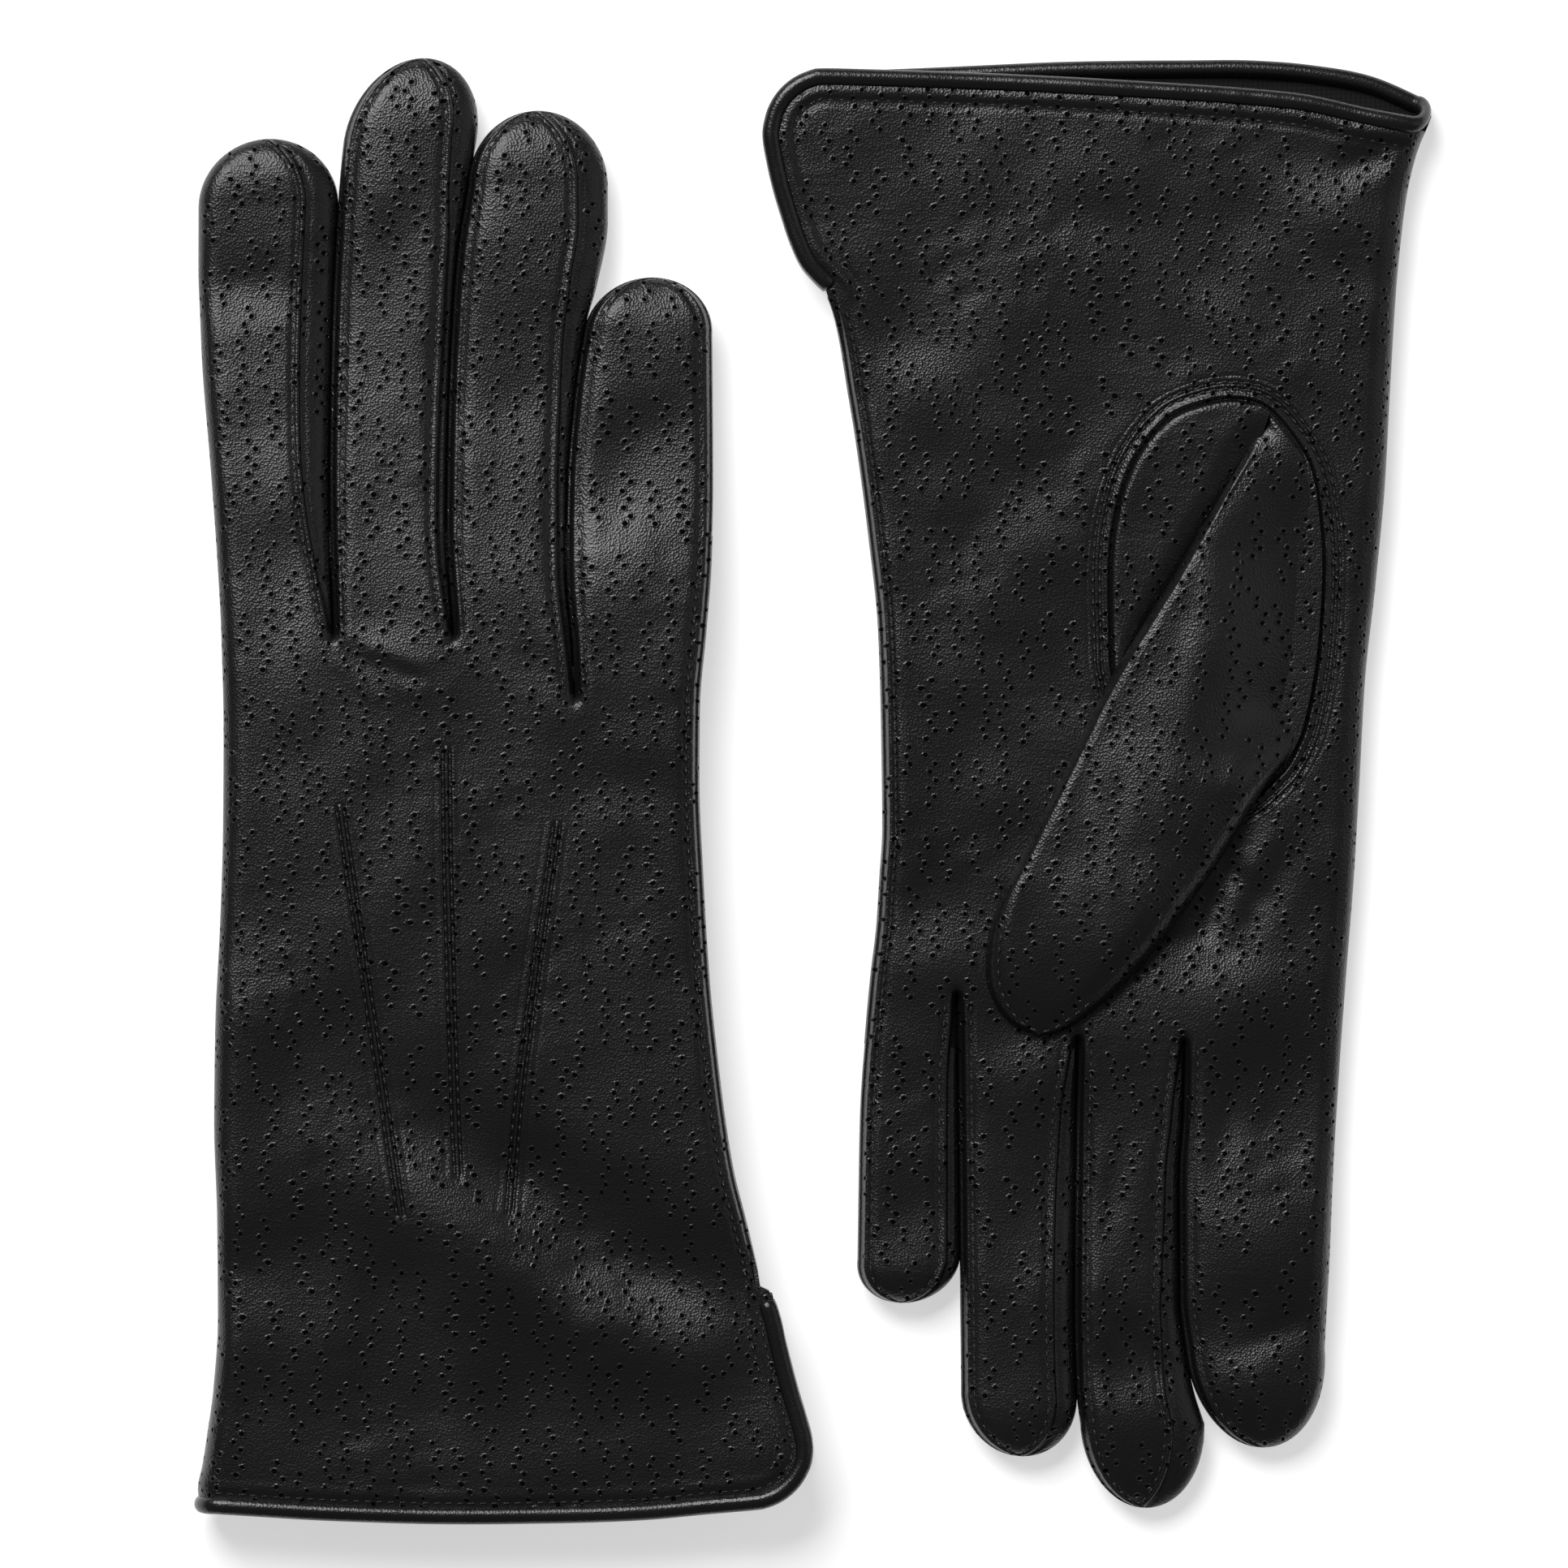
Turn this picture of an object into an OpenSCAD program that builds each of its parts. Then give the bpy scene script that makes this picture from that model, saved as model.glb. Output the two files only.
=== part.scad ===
// A pair of leather driving gloves lying flat: the right one back up, the left one palm up and turned
// end for end. Every glove is cut as a glover cuts it: back, palm, strips, fourchettes, quirks, a
// set-in thumb, a lining and a bound cuff. Each panel is a plan outline cut through a side profile.
// Millimetres, +Z up, the table at z 0.

/* [Leather] */
// Thickness of the outer leather
leather_t = 0.8; // [0.6:0.1:1]
// Thickness of the lining
lining_t = 0.4; // [0.2:0.1:0.5]
// Clear height between the two leathers of the hand and of each finger
inner_h = 5.8; // [5.6:0.1:7]
// Clear height between the two leathers of the thumb
thumb_inner_h = 4.5; // [4.3:0.1:6]

/* [Size] */
// Length from the hem to the tip of the middle finger
glove_len = 250; // [235:1:265]
// Width across the palm, lying flat
palm_w = 81; // [76:1:88]
// Open space between two neighbouring fingers
finger_gap = 1; // [0.8:0.1:1.4]
// Length of the round end of a finger
tip_len = 11.5; // [10:0.5:13]

/* [Cuff] */
// Length of the open vent on the little-finger side
vent_len = 40; // [30:1:46]
// Width of the leather binding round the cuff
binding_w = 3.6; // [2.6:0.2:4.4]
// Thickness of the rolled binding
binding_t = 1.8; // [1.4:0.1:2.4]
// Radius of the corner where the hem turns up the vent
vent_corner_r = 11; // [8:1:13]

/* [Joints] */
// Space that a folding finger needs behind its joint
flex_room = 4.2; // [4.2:0.1:5]

/* [Pair] */
// Distance across from the middle of the pair to the right glove's centre line
right_x = -60.5; // [-75:0.5:-60]
// Distance across from the middle of the pair to the left glove's centre line
left_x = 51.8; // [51:0.2:70]

/* [Hidden] */

INDEX = 0;
MIDDLE = 1;
RING = 2;
LITTLE = 3;
BLACK = "#1c1c1e";
LINING_GREY = "#2b2a2c";
NOMINAL_LEN = 250;
NOMINAL_PALM_W = 81;
kx = palm_w / NOMINAL_PALM_W;
ky = glove_len / NOMINAL_LEN;
step_y = 8;
reach = 90;

shell_h = inner_h + 2 * leather_t;
thumb_h = thumb_inner_h + 2 * leather_t;
welt_w = 1.6;
welt_proud = 0.4;
thumb_clear = 0.8;
thumb_drop = thumb_h + thumb_clear;
lining_top = 146 * ky;
flex_y = 178 * ky;
stub_end = flex_y - flex_room;

// A glove's outline on the table, lying with the index finger on the -X side. Stations are
// [distance from the hem, distance from the centre line].
RIGHT_INDEX_EDGE = [[0, -44], [6, -44.9], [27, -41.7], [78, -42], [125, -40.5], [143, -40.5], [160, -41.2],
    [177, -42.7], [198, -44.2], [214, -45.1], [250, -45.1]];
RIGHT_LITTLE_EDGE = [[0, 60.4], [15, 60], [27, 56.6], [40, 51.4], [52, 48.4], [64, 45.3], [77, 43.8],
    [94, 42.2], [114, 40.9], [131, 40.5], [148, 41.3], [160, 42.3], [173, 42.8], [205, 42.4]];
RIGHT_GAPS = [
    [[140, -21.8], [151, -22], [167, -22.5], [185, -22.7], [211, -21.8], [230, -20.8], [240, -19.6]],
    [[140, -1], [151, -1.4], [167, -2.4], [185, -2.5], [205, -1.4], [217, -0.1], [230, 1.1], [240, 2.6]],
    [[140, 19], [147, 18.5], [167, 17.9], [180, 18.2], [198, 20.8], [207, 23], [214, 24.8], [240, 24.8]],
];
RIGHT_TIPS = [[-33, 236], [-6.6, 250], [12.6, 241], [32.8, 212.4]];

LEFT_INDEX_EDGE = [[0, -51], [7, -53.6], [19, -49.6], [32, -47.8], [65, -45.6], [98, -42.6], [131, -40.4],
    [165, -37.9], [198, -36.1], [226, -34.2], [250, -34]];
LEFT_LITTLE_EDGE = [[0, 61.2], [15, 61], [27, 58], [40, 50.6], [48, 48], [65, 45.2], [82, 43], [98, 41.3],
    [131, 40.6], [148, 41.6], [165, 43.4], [181, 44.5], [205, 44.9]];
LEFT_GAPS = [
    [[140, -12], [151, -11.5], [168, -11.1], [180, -11.7], [205, -10.3], [219, -9.9],
        [231, -12.2], [240, -14.2]],
    [[140, 8], [151, 7.6], [167, 7.5], [180, 7.9], [191, 7.9], [212, 8.6], [229, 7.9], [240, 7]],
    [[140, 28.6], [160, 27.9], [177, 26.9], [191, 27.5], [208, 27.2], [225, 26.8], [240, 26]],
];
LEFT_TIPS = [[-23.8, 237.3], [-4, 247.6], [16, 238.8], [36.4, 212.4]];

BACK_CROTCH = [151, 151, 143];
PALM_CROTCH = [168, 167, 160];

// Side profiles: [distance from the hem, height of the leather's lower face].
FLAT_LOW = [[-3, 0], [190, 0]];
FLAT_HIGH = [[-3, inner_h + leather_t], [190, inner_h + leather_t]];
ARCHED_LOW = [[-3, 0], [14, 0], [55, thumb_drop], [155, thumb_drop], [173, 0], [190, 0]];
ARCHED_HIGH = [[-3, 10.2], [14, 11], [60, thumb_drop + inner_h + leather_t],
    [155, thumb_drop + inner_h + leather_t], [173, inner_h + leather_t], [190, inner_h + leather_t]];

// The set-in thumb: an oval hole in the palm, and the thumb folded across the palm.
hole_c = [-15.8, 100.5];
hole_r = [21.4, 44];
THUMB_BASE = [[-21.5, 61], [-31, 63.5], [-35.4, 72], [-36.4, 84], [-36.2, 98], [-34, 111], [-31, 118],
    [-22.9, 127.5], [-19.4, 135], [-12.5, 144]];
THUMB_CREASE = [[21, 141], [15.9, 130], [1.4, 107.9], [-14, 80]];
thumb_tip_c = [11, 154.3];
thumb_tip_r = 12.3;
thumb_pivot = [-30, 85];

// Three raised lines of stitching on the back: [start, end].
POINTS = [[[-20.6, 124.5], [-9.8, 51.4]], [[-2.6, 133], [-0.4, 58.1]], [[16.6, 120.2], [7.7, 52.1]]];
point_w = 1.8;

// A glove: its edges, gaps, fingertips, lower and upper profiles, whether the back is on top, how much
// further the thumb is folded across, how far the upper leather stops short of the lower one at the
// hem, and how proud the points stand.
RIGHT = [RIGHT_INDEX_EDGE, RIGHT_LITTLE_EDGE, RIGHT_GAPS, RIGHT_TIPS, ARCHED_LOW, ARCHED_HIGH,
    true, 14, 0, 0.4];
LEFT = [LEFT_INDEX_EDGE, LEFT_LITTLE_EDGE, LEFT_GAPS, LEFT_TIPS, FLAT_LOW, FLAT_HIGH, false, 0, 3.2, 0];
function gaps(g) = g[2];
function back_up(g) = g[6];
function thumb_turn(g) = g[7];
function short_hem(g) = g[8];
function proud(g) = g[9];

// ---- plan outlines ------------------------------------------------------------------------------

function index_edge(g, y) = kx * lookup(y / ky, g[0]);
function little_edge(g, y) = kx * lookup(y / ky, g[1]);
function gap_x(g, k, y) = kx * lookup(y / ky, gaps(g)[k]);
function lane_left(g, f, y) = f == INDEX ? index_edge(g, y) : gap_x(g, f - 1, y) + finger_gap / 2;
function lane_right(g, f, y) = f == LITTLE ? little_edge(g, y) : gap_x(g, f, y) - finger_gap / 2;
function steps(a, b) = [for (n = ceil(abs(b - a) / step_y), i = [0:n]) a + (b - a) * i / n];
function tip(g, f) = [g[3][f].x * kx, g[3][f].y * ky];
function cap_y(g, f) = tip(g, f).y - tip_len;

// The round end of a finger: half an ellipse whose middle drifts to the fingertip, from angle a to
// angle b.
function cap(g, f, inset, a, b) =
    let (y0 = cap_y(g, f), l = lane_left(g, f, y0), r = lane_right(g, f, y0))
    let (c = (l + r) / 2, h = (r - l) / 2)
    [for (t = [0:10], v = a + (b - a) * t / 10)
        [c + (tip(g, f).x - c) * sin(v) + (h - inset) * cos(v), y0 + (tip_len - inset) * sin(v)]];

function finger_side(g, f, inset, from_y, left) =
    [for (y = steps(from_y, cap_y(g, f)))
        [left ? lane_left(g, f, y) + inset : lane_right(g, f, y) - inset, y]];

function finger_outline(g, f, from_y) = concat(
    finger_side(g, f, 0, from_y, true), cap(g, f, 0, 180, 0), reverse(finger_side(g, f, 0, from_y, false)));

// One side wall of a finger, from the fold line to the fingertip.
function finger_wall(g, f, from_y, left) =
    let (a = left ? 180 : 0)
    concat(
        finger_side(g, f, 0, from_y, left), cap(g, f, 0, a, 90),
        reverse(concat(finger_side(g, f, leather_t, from_y, left), cap(g, f, leather_t, a, 90))));

function reverse(list) = [for (i = [len(list) - 1:-1:0]) list[i]];
function hem_y(g, x, top) = (top ? short_hem(g) : 0) + 0.0011 * x * x;

// The cuff's free edge, from the top of the vent down and along the hem to the folded side.
function cuff_edge(g, inset, top) =
    let (r = vent_corner_r, y0 = hem_y(g, 48, top) + r, x0 = little_edge(g, y0 + 4) - r)
    concat(
        [for (y = steps(vent_len, y0)) [little_edge(g, y) - inset, y]],
        [for (v = [0:-15:-90]) [x0 + (r - inset) * cos(v), y0 + (r - inset) * sin(v)]],
        [for (x = [36:-12:-36]) [x, hem_y(g, x, top) + inset]],
        [[index_edge(g, 2), hem_y(g, -44, top) + inset]]);

// Both sides of the slit between two fingers, down to the crotch at y0 and back up.
function slit(g, k, y0, inset) = concat(
    [for (y = steps(stub_end, y0)) [gap_x(g, k, y) - finger_gap / 2 - inset, y - (y == y0 ? inset : 0)]],
    [for (y = steps(y0, stub_end)) [gap_x(g, k, y) + finger_gap / 2 + inset, y - (y == y0 ? inset : 0)]]);

function hand_outline(g, top, crotch) = concat(
    [for (y = steps(hem_y(g, -44, top) + binding_w, stub_end)) [index_edge(g, y), y]],
    slit(g, 0, crotch[0] * ky, 0), slit(g, 1, crotch[1] * ky, 0), slit(g, 2, crotch[2] * ky, 0),
    [for (y = steps(stub_end, vent_len)) [little_edge(g, y), y]],
    cuff_edge(g, binding_w, top));

function lining_outline(g, top) = concat(
    [for (y = steps(hem_y(g, -44, top) + binding_w, lining_top)) [index_edge(g, y) + leather_t, y]],
    [for (y = steps(lining_top, vent_len)) [little_edge(g, y) - leather_t, y]],
    cuff_edge(g, binding_w, top));

// ---- the thumb's outline ------------------------------------------------------------------------

function fit(p) = [p.x * kx, p.y * ky];
function turned(p, a) = let (d = p - thumb_pivot)
    thumb_pivot + [d.x * cos(a) + d.y * sin(a), -d.x * sin(a) + d.y * cos(a)];
function thumb_points(a) = let (c = turned(thumb_tip_c, a)) concat(
    [for (i = [0:6]) THUMB_BASE[i]],
    [for (i = [7:9]) turned(THUMB_BASE[i], a)],
    [for (v = [140:-15:-25]) c + thumb_tip_r * [cos(v - a), sin(v - a)]],
    [for (i = [0:3]) turned(THUMB_CREASE[i], a * (1 - i / 6))]);
function thumb_outline(g) = [for (p = thumb_points(thumb_turn(g))) fit(p)];

// A clockwise outline moved inwards by d, each point square to the line between its neighbours.
function shrunk(o, d) = let (n = len(o)) [for (i = [0:n - 1])
    let (t = o[(i + 1) % n] - o[(i + n - 1) % n]) o[i] + d * [t.y, -t.x] / norm(t)];

module thumb_shape(g, inset) {
    polygon(shrunk(thumb_outline(g), inset));
}

module hole_shape(grow) {
    polygon([for (v = [0:12:348])
        fit(hole_c) + [(hole_r.x * kx + grow) * cos(v), (hole_r.y * ky + grow) * sin(v)]]);
}

// ---- cutting plan outlines through side profiles ------------------------------------------------

// The space between two side profiles, each raised by its own amount.
module between(low, low_up, high, high_up) {
    bottom = [for (p = low) [p[0] * ky, p[1] + low_up]];
    top = [for (p = high) [p[0] * ky, p[1] + high_up]];
    translate([-reach, 0, 0])
        rotate([90, 0, 90])
            linear_extrude(2 * reach)
                polygon(concat(bottom, reverse(top)));
}

module cut(low, low_up, high, high_up) {
    intersection() {
        linear_extrude(40) children();
        between(low, low_up, high, high_up);
    }
}

// A layer of the given thickness that lies on a profile.
module layer(profile, up, t) {
    cut(profile, up, profile, up + t) children();
}

module wall(g) {
    cut(g[4], leather_t, g[5], 0) children();
}

// ---- the hand -----------------------------------------------------------------------------------

function top_is(g, back) = back == back_up(g);
function profile_of(g, back) = top_is(g, back) ? g[5] : g[4];

module point_shapes() {
    for (p = POINTS) {
        a = fit(p[0]);
        b = fit(p[1]);
        n = [a.y - b.y, b.x - a.x] / norm(b - a) * (point_w / 2);
        polygon([a + n, b + n, b - n, a - n]);
    }
}

module hand_back(g) color(BLACK) difference() {
    layer(profile_of(g, true), 0, leather_t) polygon(hand_outline(g, top_is(g, true), BACK_CROTCH));
    linear_extrude(40) point_shapes();
}

module hand_palm(g) color(BLACK) difference() {
    layer(profile_of(g, false), 0, leather_t) polygon(hand_outline(g, top_is(g, false), PALM_CROTCH));
    linear_extrude(40) hole_shape(0);
}

module back_points(g) color(BLACK)
    layer(profile_of(g, true), 0, leather_t + proud(g)) point_shapes();

module hand_fold(g) color(BLACK) wall(g)
    let (ys = steps(hem_y(g, -44, false) + binding_w, stub_end)) polygon(concat(
        [for (y = ys) [index_edge(g, y), y]], [for (y = reverse(ys)) [index_edge(g, y) + leather_t, y]]));

module side_seam(g) color(BLACK) wall(g)
    let (ys = steps(vent_len, stub_end)) polygon(concat(
        [for (y = ys) [little_edge(g, y), y]], [for (y = reverse(ys)) [little_edge(g, y) - leather_t, y]]));

module quirks(g) color(BLACK) for (k = [0:2]) wall(g) difference() {
    polygon(slit(g, k, BACK_CROTCH[k] * ky, leather_t));
    polygon(concat(slit(g, k, BACK_CROTCH[k] * ky, 0), [[gap_x(g, k, stub_end), stub_end + 1]]));
}

module lining(g, back) color(LINING_GREY) difference() {
    layer(profile_of(g, back), top_is(g, back) ? -lining_t : leather_t, lining_t)
        polygon(lining_outline(g, top_is(g, back)));
    linear_extrude(40) for (k = [0:2]) polygon(slit(g, k, BACK_CROTCH[k] * ky, leather_t + 0.2));
    if (!back) linear_extrude(40) hole_shape(0);
}

// The binding rolls over both layers' free edges and joins them at the folded side.
module cuff_binding(g) color(BLACK) union() {
    roll_up = (binding_t - leather_t) / 2;
    layer(g[4], 0, binding_t)
        polygon(concat(cuff_edge(g, 0, false), reverse(cuff_edge(g, binding_w, false))));
    layer(g[5], -roll_up, binding_t)
        polygon(concat(cuff_edge(g, 0, true), reverse(cuff_edge(g, binding_w, true))));
    cut(g[4], leather_t, g[5], leather_t + roll_up)
        let (x = index_edge(g, 2), y = hem_y(g, -44, true)) polygon([
            [x, hem_y(g, -44, false)], [x, y + binding_w], [x + leather_t, y + binding_w],
            [x + leather_t, hem_y(g, -44, false)]]);
}

module thumb_welt(g) color(BLACK)
    layer(profile_of(g, false), top_is(g, false) ? leather_t : -welt_proud, welt_proud) difference() {
        hole_shape(welt_w);
        hole_shape(0);
    }

// The foot of the thumb's leather, which fills the hole beside the folded thumb, level with the palm.
module thumb_foot(g) color(BLACK)
    layer(profile_of(g, false), 0, leather_t) difference() {
        hole_shape(0);
        thumb_shape(g, 3);
    }

// ---- the fingers --------------------------------------------------------------------------------

module finger_strip(g, f, back) color(BLACK)
    translate([0, 0, top_is(g, back) ? leather_t + inner_h : 0])
        linear_extrude(leather_t) polygon(finger_outline(g, f, flex_y));

module finger_side_wall(g, f, left) color(BLACK)
    translate([0, 0, leather_t])
        linear_extrude(inner_h) polygon(finger_wall(g, f, flex_y, left));

module fourchettes(g, f) {
    finger_side_wall(g, f, true);
    finger_side_wall(g, f, false);
}

// ---- the thumb ----------------------------------------------------------------------------------

// A thumb layer, measured from the outer leather's outer face inwards.
module thumb_layer(g, depth, t)
    translate([0, 0, back_up(g) ? depth : thumb_h + shell_h + thumb_clear - depth - t])
        linear_extrude(t) children();

module thumb_outer(g) color(BLACK) thumb_layer(g, 0, leather_t) thumb_shape(g, 0);

module thumb_inner(g) color(BLACK) thumb_layer(g, thumb_h - leather_t, leather_t) difference() {
    thumb_shape(g, 0);
    hole_shape(0.5);
}

module thumb_side(g) color(BLACK) thumb_layer(g, leather_t, thumb_inner_h) difference() {
    thumb_shape(g, 0);
    thumb_shape(g, leather_t);
}

// ---- the pair -----------------------------------------------------------------------------------

module right() translate([right_x, -glove_len / 2, 0]) children();
module left() translate([left_x, glove_len / 2, 0]) rotate([0, 0, 180]) children();

right() hand_back(RIGHT);  // right_back
right() hand_palm(RIGHT);  // right_palm
right() hand_fold(RIGHT);  // right_fold
right() side_seam(RIGHT);  // right_side_seam
right() lining(RIGHT, true);  // right_back_lining
right() lining(RIGHT, false);  // right_palm_lining
right() cuff_binding(RIGHT);  // right_cuff_binding
right() back_points(RIGHT);  // right_points
right() quirks(RIGHT);  // right_quirks
right() thumb_welt(RIGHT);  // right_thumb_welt
right() thumb_foot(RIGHT);  // right_thumb_foot
right() finger_strip(RIGHT, INDEX, true);  // right_index_back
right() finger_strip(RIGHT, INDEX, false);  // right_index_palm
right() finger_side_wall(RIGHT, INDEX, true);  // right_index_fold
right() finger_side_wall(RIGHT, INDEX, false);  // right_index_fourchette
right() finger_strip(RIGHT, MIDDLE, true);  // right_middle_back
right() finger_strip(RIGHT, MIDDLE, false);  // right_middle_palm
right() fourchettes(RIGHT, MIDDLE);  // right_middle_fourchettes
right() finger_strip(RIGHT, RING, true);  // right_ring_back
right() finger_strip(RIGHT, RING, false);  // right_ring_palm
right() fourchettes(RIGHT, RING);  // right_ring_fourchettes
right() finger_strip(RIGHT, LITTLE, true);  // right_little_back
right() finger_strip(RIGHT, LITTLE, false);  // right_little_palm
right() finger_side_wall(RIGHT, LITTLE, true);  // right_little_fourchette
right() finger_side_wall(RIGHT, LITTLE, false);  // right_little_seam
right() thumb_outer(RIGHT);  // right_thumb_outer
right() thumb_inner(RIGHT);  // right_thumb_inner
right() thumb_side(RIGHT);  // right_thumb_side

left() hand_back(LEFT);  // left_back
left() hand_palm(LEFT);  // left_palm
left() hand_fold(LEFT);  // left_fold
left() side_seam(LEFT);  // left_side_seam
left() lining(LEFT, true);  // left_back_lining
left() lining(LEFT, false);  // left_palm_lining
left() cuff_binding(LEFT);  // left_cuff_binding
left() back_points(LEFT);  // left_points
left() quirks(LEFT);  // left_quirks
left() thumb_welt(LEFT);  // left_thumb_welt
left() thumb_foot(LEFT);  // left_thumb_foot
left() finger_strip(LEFT, INDEX, true);  // left_index_back
left() finger_strip(LEFT, INDEX, false);  // left_index_palm
left() finger_side_wall(LEFT, INDEX, true);  // left_index_fold
left() finger_side_wall(LEFT, INDEX, false);  // left_index_fourchette
left() finger_strip(LEFT, MIDDLE, true);  // left_middle_back
left() finger_strip(LEFT, MIDDLE, false);  // left_middle_palm
left() fourchettes(LEFT, MIDDLE);  // left_middle_fourchettes
left() finger_strip(LEFT, RING, true);  // left_ring_back
left() finger_strip(LEFT, RING, false);  // left_ring_palm
left() fourchettes(LEFT, RING);  // left_ring_fourchettes
left() finger_strip(LEFT, LITTLE, true);  // left_little_back
left() finger_strip(LEFT, LITTLE, false);  // left_little_palm
left() finger_side_wall(LEFT, LITTLE, true);  // left_little_fourchette
left() finger_side_wall(LEFT, LITTLE, false);  // left_little_seam
left() thumb_outer(LEFT);  // left_thumb_outer
left() thumb_inner(LEFT);  // left_thumb_inner
left() thumb_side(LEFT);  // left_thumb_side
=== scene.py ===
import math

import bpy
import numpy as np
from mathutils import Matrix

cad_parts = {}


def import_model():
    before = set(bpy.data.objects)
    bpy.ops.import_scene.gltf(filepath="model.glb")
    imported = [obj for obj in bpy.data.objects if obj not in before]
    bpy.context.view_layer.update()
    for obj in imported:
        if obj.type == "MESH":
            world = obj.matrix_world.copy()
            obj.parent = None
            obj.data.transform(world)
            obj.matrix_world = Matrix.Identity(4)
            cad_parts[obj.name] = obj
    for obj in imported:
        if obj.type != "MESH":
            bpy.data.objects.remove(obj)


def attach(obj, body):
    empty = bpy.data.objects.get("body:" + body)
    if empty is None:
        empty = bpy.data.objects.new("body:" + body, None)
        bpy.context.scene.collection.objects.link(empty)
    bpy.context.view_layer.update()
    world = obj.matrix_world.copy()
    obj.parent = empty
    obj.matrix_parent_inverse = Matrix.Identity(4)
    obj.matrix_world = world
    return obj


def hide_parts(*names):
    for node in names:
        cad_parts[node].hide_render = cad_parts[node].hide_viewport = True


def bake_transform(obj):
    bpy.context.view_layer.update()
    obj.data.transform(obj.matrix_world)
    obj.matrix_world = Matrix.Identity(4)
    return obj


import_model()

bl_info = {
    "name": "Leather driving gloves",
    "version": (1, 0, 0),
    "blender": (4, 5, 0),
    "location": "3D View > Sidebar > Gloves",
    "description": "A pair of black leather gloves, cut and sewn piece by piece",
    "category": "Object",
}

MM = 0.001
FINGERS = ("index", "middle", "ring", "little")

# In millimetres: how far up the glove the hand's pieces end and the fingers' begin, where the leather starts
# and stops bending with a finger, and the height of that bend.
SPLIT = 169.0
BEND_FROM, BEND_TO, HINGE_Z = 169.5, 186.5, 3.7

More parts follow.
